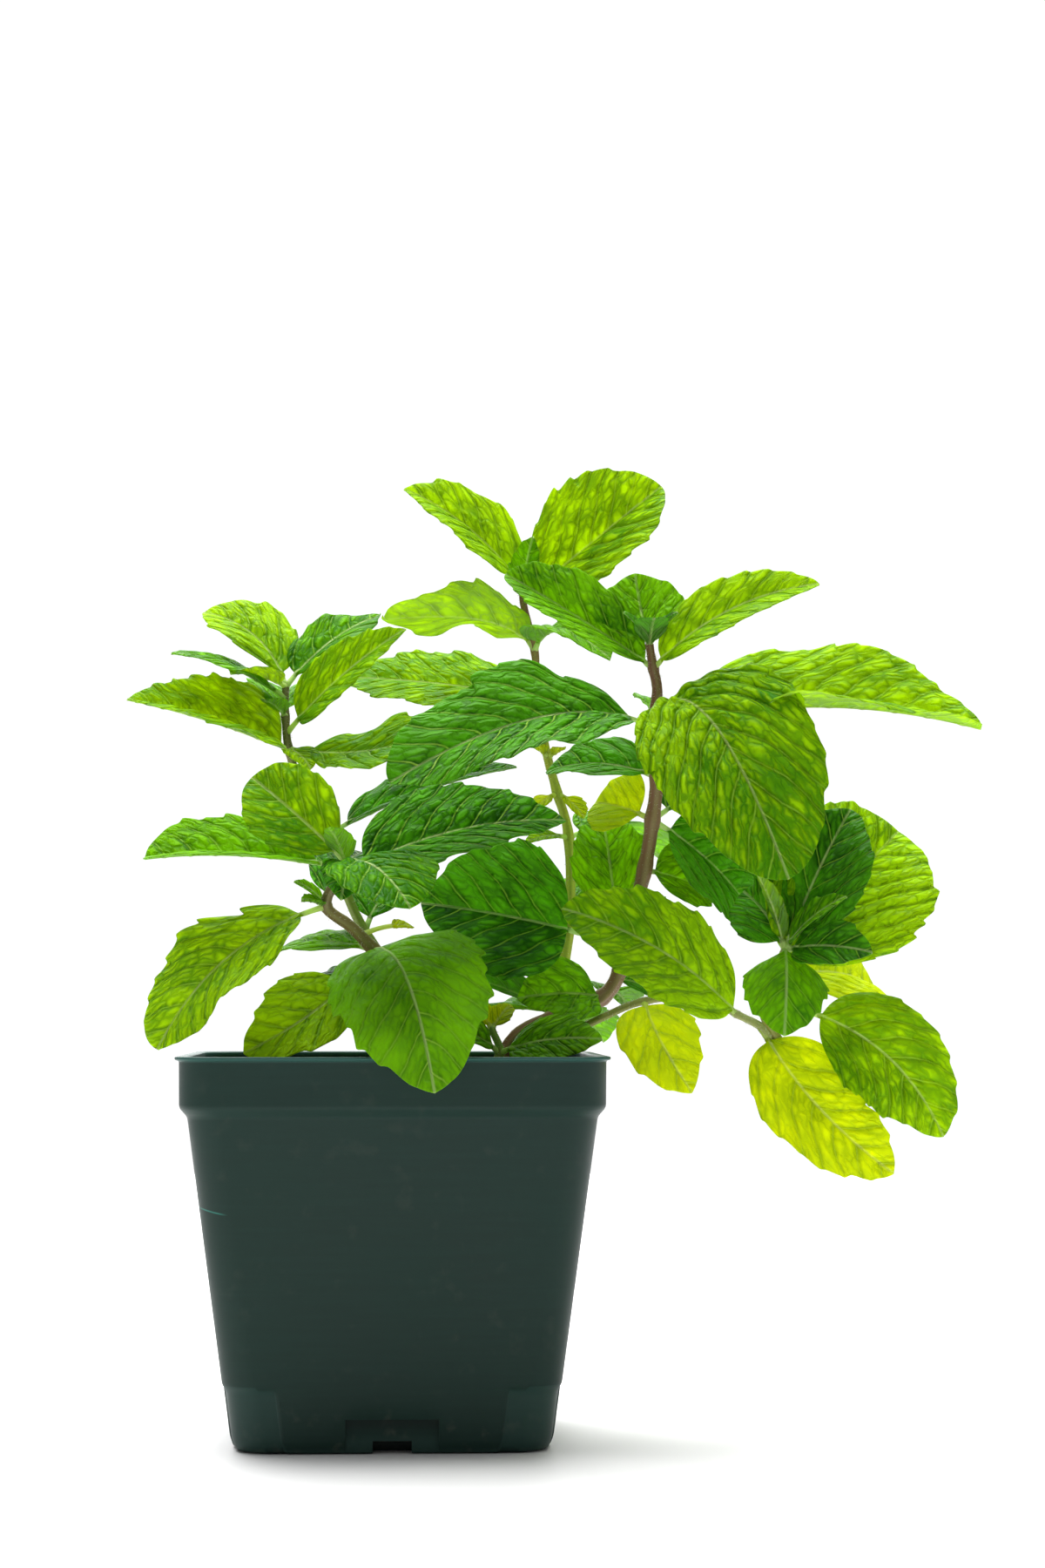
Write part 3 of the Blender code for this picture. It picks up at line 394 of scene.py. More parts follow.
# painted light on the corner recesses of the foot, and painted shade in the side pockets
POT_RECESS_PAINTED_LIGHT = (0.022, 0.06, 0.05)
POT_POCKET_SHADE = (0.002, 0.01, 0.008)
POT_SCRATCH = (0.03, 0.22, 0.17)
SCRATCH_AT = (-47.3, 60.4)
SCRATCH_BEND = -0.012
SCRATCH_SLOPE = 0.3
SCRATCH_HALF = 0.06
SCRATCH_ENDS = (-48.5, -46.0, -43.0, -40.0)
DUST_HEIGHT = 14.0
# how far below the top the painted lip highlight starts, and where it is full
LIP_HIGHLIGHT_FROM = 1.6
LIP_HIGHLIGHT_FULL = 0.6
FRONT_ONLY = (-30.0, -29.0)
SOIL_DARK = (0.018, 0.011, 0.007)
SOIL_LIGHT = (0.060, 0.036, 0.022)
# painted shade in the hollows between the crumbs
SOIL_HOLLOW_SHADE = (0.008, 0.005, 0.004)
SOIL_FIBRE = (0.22, 0.12, 0.05)
CHIP_DARK = (0.05, 0.028, 0.016)
CHIP_LIGHT = (0.17, 0.09, 0.045)
FLOOR_DARK = (0.90, 0.90, 0.90)
FLOOR_LIGHT = (0.93, 0.93, 0.93)
FLOOR_RADIUS = 1.3
FLOOR_CORNERS = 96

# studio: lamp name, place, aim, size in metres, power in watts
WORLD_LIGHT = 0.28
BACKDROP_LIGHT = 1.05
LAMPS = [
    ("overhead", (-0.05, 0.5, 2.0), (0.03, 0.0, 0.1), 2.0, 92.0),
    ("behind", (-0.2, 1.6, 0.9), (0.03, 0.0, 0.15), 1.6, 22.0),
]

# the points and faces of a leaf or stem, and the values that vary over its points
Surface = namedtuple("Surface", ["points", "faces", "values"])


def share(low, high, x):
    """0 below low, 1 above high and a smooth rise between them."""
    t = np.clip((x - low) / (high - low), 0.0, 1.0)
    return t * t * (3 - 2 * t)


def unit(rows):
    return rows / np.linalg.norm(rows, axis=-1, keepdims=True)


def dots(first, second):
    return np.sum(first * second, axis=-1, keepdims=True)


# meshes


def add_object(name, data):
    made = bpy.data.objects.new(name, data)
    bpy.context.scene.collection.objects.link(made)
    return made


def add_values(mesh, values):
    """Store named values on a mesh's points, for its material to read."""
    for name, numbers in values.items():
        layer = mesh.attributes.new(name, "FLOAT", "POINT")
        layer.data.foreach_set("value", np.asarray(numbers, float).ravel())


def add_mesh(name, points, faces, values=None, smooth=True):
    """A mesh object from points in millimetres and faces that all have as many corners."""
    mesh = bpy.data.meshes.new(name)
    mesh.vertices.add(len(points))
    mesh.vertices.foreach_set("co", (np.asarray(points) * MM).ravel())
    faces = np.asarray(faces)
    mesh.loops.add(faces.size)
    mesh.loops.foreach_set("vertex_index", faces.ravel())
    mesh.polygons.add(len(faces))
    mesh.polygons.foreach_set("loop_start", np.arange(0, faces.size, faces.shape[1]))
    mesh.update(calc_edges=True)
    mesh.polygons.foreach_set("use_smooth", np.full(len(faces), smooth))
    add_values(mesh, values or {})
    return add_object(name, mesh)


def place(piece, node, finish):
    """Dress a piece, and let it stand for its node of the solid model."""
    piece.data.materials.append(finish)
    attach(piece, "root")
    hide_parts(node)
    return piece


def ring_faces(rows, count, flip=False):
    """Quads between equal closed rings that follow each other."""
    row = np.arange(rows - 1)[:, None] * count
    here = np.arange(count)[None, :]
    ahead = (here + 1) % count
    quads = np.stack([row + here, row + ahead, row + count + ahead, row + count + here], -1)
    quads = quads.reshape(-1, 4)
    return quads[:, ::-1] if flip else quads


# leaf shape


class Midrib:
    """Where one leaf's midrib runs and which way its face looks, at any place along it."""

    def __init__(self, root, spec):
        self.spec = spec
        self.root = np.array(root, float)
        self.tip = np.array(spec.tip, float)
        chord = self.tip - self.root
        self.length = float(np.linalg.norm(chord))
        along = chord / self.length
        face = np.array(spec.face, float)
        face = unit(face - along * face.dot(along))
        self.side = np.cross(along, face)
        rise = face * (2 * spec.arch * self.length)
        sideways = self.side * (2 * spec.bend * self.length)
        self.crown = self.root + chord * spec.skew + rise + sideways

    def at(self, u):
        """Points, directions, sides and normals at the shares u of the leaf's length."""
        u = u[:, None]
        point = self.root * (1 - u) ** 2 + self.crown * (2 * u * (1 - u)) + self.tip * u**2
        along = unit((self.crown - self.root) * (1 - u) + (self.tip - self.crown) * u)
        turn = np.radians(self.spec.twist) * u
        side = np.broadcast_to(self.side, point.shape)
        lean = along * dots(along, side) * (1 - np.cos(turn))
        side = side * np.cos(turn) + np.cross(along, side) * np.sin(turn) + lean
        side = unit(side - along * dots(side, along))
        return point, along, side, np.cross(side, along)

    def half_width(self, v):
        """Half the blade's width at the shares v of the blade, without its teeth."""
        spec = self.spec
        rise = OUTLINE_POWER * spec.belly
        fall = OUTLINE_POWER - rise
        shape = (v / spec.belly) ** rise * ((1 - v) / (1 - spec.belly)) ** fall
        return np.maximum(shape * spec.width / 2, self.stalk_half() * (1 - v) + TIP_HALF_WIDE)

    def stalk_half(self):
        return min(STALK_HALF_WIDE, self.spec.width * STALK_WIDEST_SHARE)


def tooth(p):
    """A tooth that leans forward: its height over one repeat of p."""
    p = p - np.floor(p)
    rise = np.clip(p / TOOTH_PEAK, 0, 1) ** TOOTH_RISE_POWER
    fall = 0.5 + 0.5 * np.cos(np.pi * np.clip((p - TOOTH_PEAK) / (1 - TOOTH_PEAK), 0, 1))
    return np.where(p < TOOTH_PEAK, rise, fall)


class Blade:
    """The grid of one blade: rows along it, columns across it from -1 to 1."""

    def __init__(self, midrib, draw):
        spec = midrib.spec
        self.midrib = midrib
        self.spec = spec
        self.length = midrib.length * (1 - spec.stalk)
        rows = max(int(self.length * CURVED_LENGTH / GRID_STEP), LEAST_ROWS)
        half = max(int(spec.width / 2 / GRID_STEP), LEAST_COLUMNS)
        t = np.linspace(0, 1, rows)
        self.v = ROW_EVEN * t + (1 - ROW_EVEN) * (1 - np.cos(np.pi * t)) / 2
        self.w = np.linspace(-1, 1, 2 * half + 1)
        self.lobes = int(np.clip(round(self.length / LOBE_LENGTH), *LOBE_COUNTS))
        self.start = draw.uniform(0, 1, 4)
        self.sizes = draw.uniform(*TOOTH_SIZES, (2, TOOTH_ROWS))

    def veins(self):
        """Which lateral vein is near each place, how far the midrib is, and the quilting's height."""
        spec = self.spec
        v, w = self.v[:, None], self.w[None, :]
        across = np.abs(w) * self.midrib.half_width(self.v)[:, None]
        spacing = self.length / (self.lobes + VEINS_PAST_LOBES)
        right = np.where(w > 0, 1.0, 0.0)
        lean = VEIN_LEAN * across + VEIN_CURVE * across**2 / (spec.width / 2)
        wander = VEIN_WANDER * np.sin(across * 0.6 + self.start[0] * 6 + right * 2)
        vein = (v * self.length - lean) / spacing + HALVES_APART * right + wander + self.start[1] * 0.3
        vein = vein + VEIN_SWAY * np.sin(7 * v + 2.1 * self.start[3] * 6 + right * 3)
        off = np.abs(vein - np.round(vein))
        pillow = 1 - (1 - 2 * off) ** PILLOW_POWER
        fade = share(0.0, 0.1, v) * (1 - v**6) * (1 - 0.6 * w**2)
        uneven = 1 - PILLOW_UNEVEN + PILLOW_UNEVEN * np.sin(across * 1.1 + vein * 2.4 + self.start[2] * 9)
        height = spec.width * spec.quilt * QUILT * fade * pillow * uneven * share(0.0, 3.0, across)
        return vein, across, height

    def growth(self):
        """How far the margin stands out past its plain outline, in millimetres, on both sides."""
        spec = self.spec
        v = self.v[:, None]
        depth = spec.width**0.5 * TOOTH_DEPTH
        swell = spec.width * LOBE_DEPTH
        ends = share(*TEETH_FROM, v) * (1 - v**8)
        sides = []
        for k in (0, 1):
            phase = v * self.lobes * TEETH_A_LOBE + self.start[k + 2] * 5
            small = tooth(phase) * self.sizes[k][np.floor(phase).astype(int) % TOOTH_ROWS] * depth
            large = np.sin(2 * np.pi * (v * self.lobes / 2 + self.start[k])) * swell
            grown = (small + large) * ends
            for side, at, deep in spec.notches:
                if side == k:
                    past = ((v - at) / NOTCH_HALF) ** 2
                    grown = grown - deep * np.exp(-np.where(v < at, NOTCH_STEEP * past, past))
            sides.append(grown)
        return sides

    def sheet(self):
        """The middle sheet's points, its normals, and what varies over it."""
        spec = self.spec
        point, along, side, normal = self.midrib.at(spec.stalk + (1 - spec.stalk) * self.v)
        vein, across, height = self.veins()
        v, w = self.v[:, None], self.w[None, :]
        size = np.abs(w)
        left, right = self.growth()
        grown = np.where(w < 0, left, right) * share(TEETH_IN_FROM, 1.0, size)
        half = self.midrib.half_width(self.v)[:, None]
        reach = half * size + grown
        fold = math.radians(spec.fold)
        rise = reach * (math.sin(fold) - CURL * size)
        start = np.where(w > 0, WAVE_STARTS[1], WAVE_STARTS[-1])
        full = w**2 * np.minimum(1, v / WAVE_FULL_FROM)
        rise = rise + spec.wave * full * np.sin(2 * np.pi * WAVES * v + start)
        ruffle = spec.width * RUFFLE * size**3 * share(0.05, 0.25, v) * (1 - v**4)
        rise = rise + ruffle * np.sin(np.pi * v * self.lobes + 5 * self.start[0] + 2 * w) + height
        back = spec.lobe * spec.width * (1 - v) ** 3 * size - grown * TOOTH_FORWARD
        out = np.sign(w) * reach * math.cos(fold)
        spots = point[:, None] + side[:, None] * out[..., None]
        spots = spots + normal[:, None] * rise[..., None] - along[:, None] * back[..., None]
        normals = np.broadcast_to(normal[:, None], spots.shape)
        return spots, normals, vein, across


def leaf_surface(root, spec, draw):
    """A closed leaf: its stalk and blade as rings, over the upper face and back under it."""
    midrib = Midrib(root, spec)
    blade = Blade(midrib, draw)
    spots, normals, vein, across = blade.sheet()
    w = blade.w
    v = blade.v[:, None]
    grow = share(0.0, BLADE_FULL_FROM, v)
    round_up = np.cos(np.pi / 2 * w)[None, :]
    stalk_half = midrib.stalk_half()
    thick = BLADE_THICK + (MARGIN_THICK - BLADE_THICK) * np.abs(w)[None, :] ** 3
    stalk_thick = min(STALK_HALF_THICK, stalk_half)
    rib = np.exp(-((across / RIB_HALF) ** 2)) * (1 - RIB_THINNING * v)
    lateral = np.exp(-(((vein - np.round(vein)) / LATERAL_HALF) ** 2)) * (1 - np.abs(w))
    over = (1 - grow) * stalk_thick * round_up + grow * (thick / 2 - RIB_SINK * rib)
    under = (1 - grow) * stalk_thick * round_up
    under = under + grow * (thick / 2 + RIB_RISE * rib + LATERAL_RISE * lateral)
    top = spots + normals * over[..., None]
    low = spots - normals * under[..., None]

    stalk_rows = max(int(midrib.length * spec.stalk / STALK_STEP), 3)
    u = np.linspace(0, spec.stalk, stalk_rows, endpoint=False)
    point, _, side, normal = midrib.at(u)
    wide = side[:, None] * (np.sin(np.pi / 2 * w) * stalk_half)[None, :, None]
    tall = normal[:, None] * (np.cos(np.pi / 2 * w) * stalk_thick)[None, :, None]
    flare = (1 + STALK_FLARE * (1 - u / max(spec.stalk, 0.01)) ** 3)[:, None, None]
    stalk_top = point[:, None] + (wide + tall) * flare
    stalk_low = point[:, None] + (wide - tall) * flare

    top = np.concatenate([stalk_top, top])
    low = np.concatenate([stalk_low, low])[:, ::-1]
    rings = np.concatenate([top, low], axis=1)
    rows, count = rings.shape[:2]
    faces = ring_faces(rows, count)
    strip = np.arange(count // 2 - 1)
    cap = np.stack([strip, strip + 1, count - 2 - strip, count - 1 - strip], -1)
    faces = np.concatenate([faces, cap[:, ::-1], cap + (rows - 1) * count])

    def both(values, stalk_value):
        full = np.broadcast_to(values, across.shape)
        full = np.concatenate([np.full((stalk_rows, len(w)), stalk_value), full])
        return np.concatenate([full, full[:, ::-1]], axis=1)

    upper = np.zeros((rows, len(w)))
    half = np.where(w > 0, 3.0, 0.0)[None, :] + 20 * blade.start[2]
    values = {
        "vein": both(vein, 0.0),
        "out": both(across, 0.0),
        "half": both(half, 0.0),
        "under": np.concatenate([upper, upper + 1], axis=1),
        "along": both(v, 0.0),
        "across": both(np.abs(w)[None, :], 0.0),
        "strong": both(spec.quilt, 0.0),
        # tone is the leaf's tone with split and fade added: painted shade between its halves and from base
        # to tip
        "tone": both(spec.tone + spec.split * np.sign(w) + spec.fade * (2 * v - 1), spec.tone),
    }
    return Surface(rings.reshape(-1, 3), faces, values)


def stem_point(path, at):
    """A point on a stem by its place in the list, whole or between two points."""
    n = min(int(at), len(path) - 2)
    low, high = np.array(path[n][:3], float), np.array(path[n + 1][:3], float)
    return low + (high - low) * (at - n)


def root_point(path, spec):
    """Where a leaf's stalk starts: inside the stem, a little to the leaf's own side."""
    centre = stem_point(path, spec.at)
    radius = path[min(int(round(spec.at)), len(path) - 1)][3]
    return centre + unit(np.array(spec.tip, float) - centre) * (radius * ROOT_DEPTH)


# stems


def smooth_path(path, steps):
    """A path's points and radii with smooth points between them, and each one's place in the list."""
    knots = np.array(path, float)
    before = np.vstack([2 * knots[0] - knots[1], knots[:-1]])
    after = np.vstack([knots[1:], 2 * knots[-1] - knots[-2]])
    slopes = (after - before) / 2
    rows, places = [], []
    for n in range(len(knots) - 1):
        for k in range(steps):
            t = k / steps
            rows.append(
                knots[n] * (2 * t**3 - 3 * t**2 + 1)
                + slopes[n] * (t**3 - 2 * t**2 + t)
                + knots[n + 1] * (3 * t**2 - 2 * t**3)
                + slopes[n + 1] * (t**3 - t**2)
            )
            places.append(n + t)
    return np.vstack([rows, knots[-1]]), np.array(places + [len(knots) - 1.0])


def stem_surface(path, joints, draw):
    """A square-ish ribbed stem that swells at its joints, closed at both ends."""
    rows, places = smooth_path(path, STEM_STEPS)
    centres, radii = rows[:, :3], rows[:, 3]
    for at in joints:
        radii = radii * (1 + JOINT_SWELL * np.exp(-(((places - at) / JOINT_REACH) ** 2)))
    ahead = unit(np.gradient(centres, axis=0))
    across = np.array((1.0, 0.0, 0.0))
    angle = 2 * np.pi * np.arange(STEM_SIDES) / STEM_SIDES
    section = 1 + STEM_SQUARE * np.cos(4 * angle) - STEM_RIBS * np.cos(8 * angle)
    rings = []
    for centre, radius, along in zip(centres, radii, ahead):
        across = unit(across - along * across.dot(along))
        up = np.cross(along, across)
        rough = 1 + STEM_ROUGH * draw.standard_normal(STEM_SIDES)
        size = (radius * section * rough)[:, None]
        rings.append(centre + size * (across * np.cos(angle)[:, None] + up * np.sin(angle)[:, None]))
    rings = np.array(rings)
    reach = ahead[-1] * radii[-1]
    around = rings[-1:] - centres[-1]
    first = centres[0] + (rings[:1] - centres[0]) * END_NARROW
    near_tip = centres[-1] + reach * TIP_AHEAD + around * TIP_NARROW
    last = centres[-1] + reach + around * END_NARROW
    rings = np.concatenate([first, rings, near_tip, last])
    count = len(rings)
    faces = ring_faces(count, STEM_SIDES)
    height = np.concatenate([[0.0], places / places[-1], [1.0, 1.0]])
    values = {
        "along": np.repeat(height, STEM_SIDES),
        "ridge": np.tile(0.5 + 0.5 * np.cos(4 * angle), count),
    }
    return Surface(rings.reshape(-1, 3), faces, values)


def stem_hairs(path, draw, amount):
    """Short hairs that stand out of a stem, each a slim three-sided spike."""
    rows, _ = smooth_path(path, STEM_STEPS)
    centres, radii = rows[:, :3], rows[:, 3]
    ahead = unit(np.gradient(centres, axis=0))
    pick = draw.integers(STEM_STEPS, len(centres), amount)
    angle = draw.uniform(0, 2 * np.pi, amount)
    along = ahead[pick]
    base = unit(np.cross(along, np.array((0.3, 0.9, 0.1))))
    other = np.cross(along, base)
    out = base * np.cos(angle)[:, None] + other * np.sin(angle)[:, None]
    slide = along * draw.uniform(-1.5, 1.5, amount)[:, None]
    foot = centres[pick] + slide + out * (radii[pick] * 0.8)[:, None]
    reach = draw.uniform(*HAIR_SIZES, amount)[:, None] * HAIR_LENGTH
    tip = foot + out * (reach + radii[pick][:, None] * 0.2) - along * reach * HAIR_DROOP
    side = np.cross(along, out) * HAIR_THICK
    back = along * (HAIR_THICK * 1.7)
    points = np.stack([foot + side, foot - side, foot + back, tip], 1)
    start = np.arange(amount)[:, None] * 4
    corners = np.array([(0, 1, 3), (1, 2, 3), (2, 0, 3), (0, 2, 1)])
    faces = (start[:, None] + corners[None]).reshape(-1, 3)
    return points.reshape(-1, 3), faces


# shader maths


class Value:
    """A number that varies over a surface. Arithmetic on it adds Math nodes."""

    def __init__(self, finish, socket):
        self.finish = finish
        self.socket = socket

    def maths(self, operation, first, second):
        made = self.finish.node("ShaderNodeMath", {"operation": operation}, {0: first, 1: second})
        return Value(self.finish, made.outputs[0])

    def __add__(self, other):
        return self.maths("ADD", self, other)

    def __sub__(self, other):
        return self.maths("SUBTRACT", self, other)

    def __rsub__(self, other):
        return self.maths("SUBTRACT", other, self)

    def __mul__(self, other):
        return self.maths("MULTIPLY", self, other)

    def __pow__(self, other):
        return self.maths("POWER", self, other)

    __radd__ = __add__
    __rmul__ = __mul__

    def swing(self, reach):
        """Up from 0 to a reach and down again, over and over."""
        return self.maths("PINGPONG", self, reach)

    def above(self, low, high):
        """0 below low, 1 above high and a smooth rise between them."""
        settings = {"interpolation_type": "SMOOTHSTEP"}
        made = self.finish.node("ShaderNodeMapRange", settings, {0: self, 1: low, 2: high})
        return Value(self.finish, made.outputs[0])


class Finish:
    """One material while its nodes are put together."""

    def __init__(self, name, roughness, specular):
        self.material = bpy.data.materials.new(name)
        self.material.use_nodes = True
        self.tree = self.material.node_tree
        self.shader = self.tree.nodes["Principled BSDF"]
        self.output = self.tree.nodes["Material Output"]
        self.shader.inputs["Roughness"].default_value = roughness
        self.shader.inputs["Specular IOR Level"].default_value = specular

    def node(self, kind, settings=None, inputs=None):
        """Any node: its type, its settings, which are set first, and its sockets' values or links."""
        made = self.tree.nodes.new(kind)
        for key, value in (settings or {}).items():
            setattr(made, key, value)
        for key, value in (inputs or {}).items():
            self.feed(made.inputs[key], value)
        return made

    def feed(self, socket, value):
        if isinstance(value, Value):
            value = value.socket
        if isinstance(value, bpy.types.NodeSocket):
            self.tree.links.new(value, socket)
        elif isinstance(value, tuple) and socket.type == "RGBA":
            socket.default_value = (*value, 1.0)
        else:
            socket.default_value = value

    def value(self, name):
        """What the mesh holds under a name."""
        made = self.node("ShaderNodeAttribute", {"attribute_name": name, "attribute_type": "GEOMETRY"})
        return Value(self, made.outputs["Fac"])

    def place(self, stretch=(1, 1, 1)):
        """Places on the object in millimetres, stretched along each axis."""
        spot = self.node("ShaderNodeTexCoord").outputs["Object"]
        size = tuple(s / MM for s in stretch)
        made = self.node("ShaderNodeVectorMath", {"operation": "MULTIPLY"}, {0: spot, 1: size})
        return made.outputs[0]

    def parts(self, spot):
        """The x, y and z of a place, each as a number."""
        made = self.node("ShaderNodeSeparateXYZ", None, {0: spot})
        return [Value(self, made.outputs[n]) for n in range(3)]

    def noise(self, size, detail=3, stretch=(1, 1, 1)):
        """Cloudy noise with lumps of a size in millimetres."""
        inputs = {"Vector": self.place(stretch), "Scale": 1 / size, "Detail": detail}
        made = self.node("ShaderNodeTexNoise", {"noise_dimensions": "3D"}, inputs)
        return Value(self, made.outputs["Fac"])

    def cells(self, size):
        """How far the middle of the nearest of scattered cells is, their size in millimetres."""
        inputs = {"Vector": self.place(), "Scale": 1 / size}
        made = self.node("ShaderNodeTexVoronoi", {"feature": "F1"}, inputs)
        return Value(self, made.outputs["Distance"])

    def mix(self, factor, first, second):
        """A colour between two colours."""
        inputs = {"Factor": factor, 6: first, 7: second}
        made = self.node("ShaderNodeMix", {"data_type": "RGBA"}, inputs)
        return made.outputs[2]

    def shade(self, colour, roughness):
        self.feed(self.shader.inputs["Base Color"], colour)
        self.feed(self.shader.inputs["Roughness"], roughness)

    def dress(self, colour, roughness, height, distance, strength):
        """Set colour and roughness, and raise the surface by a height from 0 to 1 times a distance
        in millimetres. Gives back the raised surface's normal.
        """
        inputs = {"Height": height, "Distance": distance * MM, "Strength": strength}
        normal = self.node("ShaderNodeBump", None, inputs).outputs[0]
        self.shade(colour, roughness)
        self.feed(self.shader.inputs["Normal"], normal)
        return normal


# finishes


def leaf_finish(name, deep, light, lit, through):
    """Leaf tissue: quilted between pale veins, with painted shade in the creases and grooves and
    painted highlights on the cushions between them, a grey-green back, and light comes through.
    """
    made = Finish(name, 0.46, 0.06)
    names = ("vein", "out", "half", "under", "along", "across", "strong", "tone")
    vein, out, half, under, along, across, strong, tone = map(made.value, names)
    vein = vein + 0.12 * (made.noise(3.5, 2) - 0.5)
    off = vein.swing(0.5)
    cloud = made.noise(9.0, 2)
    grain = made.noise(0.35, 2)
    row = vein * NET_ROWS + 0.9 * (made.noise(2.6, 2) - 0.5)
    step = out * (1 / NET_STEP) + 1.1 * (made.noise(3.1, 2) - 0.5)
    spot = made.node("ShaderNodeCombineXYZ", None, {0: row, 1: step, 2: half}).outputs[0]
    inputs = {"Vector": spot, "Scale": 1.0, "Randomness": 0.9}
    net = made.node("ShaderNodeTexVoronoi", {"feature": "DISTANCE_TO_EDGE"}, inputs)
    edge = Value(made, net.outputs["Distance"])
    patchy = made.noise(5.0, 2).above(0.3, 0.62)
    # the creases of the net and the grooves beside the laterals place painted shade, the cushions between
    # them painted highlight
    crease = (1 - edge.above(0.0, 0.12)) * (1 - 0.3 * across) * (0.35 + 0.65 * patchy)
    cushion = edge.above(0.0, 0.4)
    line = (1 - off.above(0.015, 0.055)) * (1 - 0.5 * across)
    groove = 1 - off.above(0.03, 0.2)
    rib = (1 - out.above(0.15, 0.55)) * (1 - 0.45 * along)
    relief = 0.6 * cushion + 0.4 * (1 - groove)
    tone = tone + 1.1 * (cloud - 0.5) + 0.12 * (grain - 0.5) + 0.25 * (across - 0.5)
    # painted light and shade from the relief: the cushions lighter, the creases and grooves darker
    tone = tone + 0.9 * strong * (relief - 0.6)
    dark = tuple(0.4 * part for part in deep)
    upper = made.mix(tone.above(-0.05, 1.05), deep, light)
    # painted shade in the creases and grooves, in a darker copy of the deep colour
    upper = made.mix((0.42 * crease + 0.25 * groove) * strong, upper, dark)
    upper = made.mix(0.85 * line, upper, LEAF_VEIN)
    upper = made.mix(0.85 * rib, upper, LEAF_RIB)
    below = made.mix(0.5 * line + 0.25 * crease, LEAF_BACK, LEAF_BACK_VEIN)
    below = made.mix(0.8 * rib, below, LEAF_RIB)
    below = made.mix(0.3, below, upper)
    colour = made.mix(under, upper, below)
    roughness = 0.4 + 0.14 * cloud + 0.1 * under
    normal = made.dress(colour, roughness, relief * strong + 0.1 * grain + 0.2 * line, 0.9, 1.0)
    glow = made.node("ShaderNodeBsdfTranslucent", None, {"Color": lit, "Normal": normal})
    # less light passes through the creases and more through the cushions, adding to their painted shade and
    # highlight
    passing = through * (0.7 + 0.38 * relief) * (0.5 + 1.0 * cloud) * (1 - 0.3 * crease * strong)
    inputs = {0: passing, 1: made.shader.outputs[0], 2: glow.outputs[0]}
    both = made.node("ShaderNodeMixShader", None, inputs)
    made.feed(made.output.inputs["Surface"], both.outputs[0])
    return made.material


def stem_finish(name, foot, head):
    """Stem skin that changes colour from foot to tip, streaked along its ridges."""
    made = Finish(name, 0.42, 0.4)
    along = made.value("along")
    ridge = made.value("ridge")
    cloud = made.noise(4.0, 3, (1, 1, 0.35))
    speck = made.noise(0.5, 2)
    turned = (along + 0.5 * (cloud - 0.5)).above(0.5, 0.85)
    skin = made.mix(turned, foot, head)
    skin = made.mix(0.35 * ridge, skin, STEM_RIDGE)
    skin = made.mix((speck - 0.45) * 0.6, skin, STEM_SPECK)
    made.dress(skin, 0.38 + 0.2 * cloud, 0.6 * speck + 0.4 * cloud, 0.12, 0.7)
    return made.material


def hair_finish():
    made = Finish("stem_hair", 0.5, 0.3)
    cloud = made.noise(3.0, 2)
    made.shade(made.mix(cloud, HAIR_LIGHT, HAIR_DARK), 0.45 + 0.15 * cloud)
    return made.material


def pot_finish():
    """Moulded dark green plastic: soft sheen, flow lines, dust, one scratch, a painted highlight
    along the lip, painted light in the corner recesses and painted shade in the side pockets.
    """
    made = Finish("pot", 0.4, 0.22)
    height = made.value("height")
    cloud = made.noise(26.0, 3)
    flow = made.noise(2.2, 3, (0.12, 0.12, 1.6))
    grain = made.noise(0.28, 2)
    dust = made.noise(6.0, 4)
    base = made.mix(cloud, POT_DARK, POT_LIGHT)
    base = made.mix(0.5 * (flow - 0.4), base, POT_FLOW)
    # painted highlight along the top of the lip
    base = made.mix(height.above(POT_HEIGHT - LIP_HIGHLIGHT_FROM, POT_HEIGHT - LIP_HIGHLIGHT_FULL), base, POT_LIP_HIGHLIGHT)
    low = 1 - height.above(0.0, DUST_HEIGHT)
    dusty = dust.above(0.56, 0.78) * (0.05 + 0.3 * low)
    base = made.mix(dusty, base, POT_DUST)
    x, y, z = made.parts(made.place())
    inset = made.value("inset")
    # painted light in the corner recesses and painted shade in the side pockets, placed by how far each
    # point lies inside the side's plane
    base = made.mix(inset.above(0.2, 0.6) * (1 - inset.above(0.85, 1.2)) * 0.5, base, POT_RECESS_PAINTED_LIGHT)
    base = made.mix(inset.above(1.1, 1.5) * 0.75, base, POT_POCKET_SHADE)
    run = x - SCRATCH_AT[0]
    arc = z - SCRATCH_AT[1] + run**2 * SCRATCH_BEND + run * SCRATCH_SLOPE
    scratched = (1 - (arc**2).above(0.0, SCRATCH_HALF)) * (1 - y.above(*FRONT_ONLY))
    scratched = scratched * x.above(*SCRATCH_ENDS[:2]) * (1 - x.above(*SCRATCH_ENDS[2:])) * 0.7
    base = made.mix(scratched, base, POT_SCRATCH)
    roughness = 0.36 + 0.14 * cloud + 0.3 * dusty + 0.08 * flow
    made.dress(base, roughness, 0.4 * grain + 0.35 * flow - 0.4 * scratched, 0.05, 0.6)
    return made.material


def soil_finish(name, dark, light):
    """Damp potting mix: brown crumbs, painted shade in the hollows between them, and pale fibres."""
    made = Finish(name, 0.9, 0.25)
    crumb = made.cells(1.3)
    cloud = made.noise(5.0, 4)
    fibre = made.noise(0.5, 3, (1, 0.12, 1))
    base = made.mix(cloud.above(0.3, 0.7), dark, light)
    # painted shade in the low edges between the crumbs
    base = made.mix(crumb.above(0.3, 0.9), base, SOIL_HOLLOW_SHADE)
    base = made.mix(fibre.above(0.62, 0.72) * 0.55, base, SOIL_FIBRE)
    made.dress(base, 0.78 + 0.2 * cloud, 0.7 * (1 - crumb) + 0.4 * fibre, 0.5, 0.9)
    return made.material


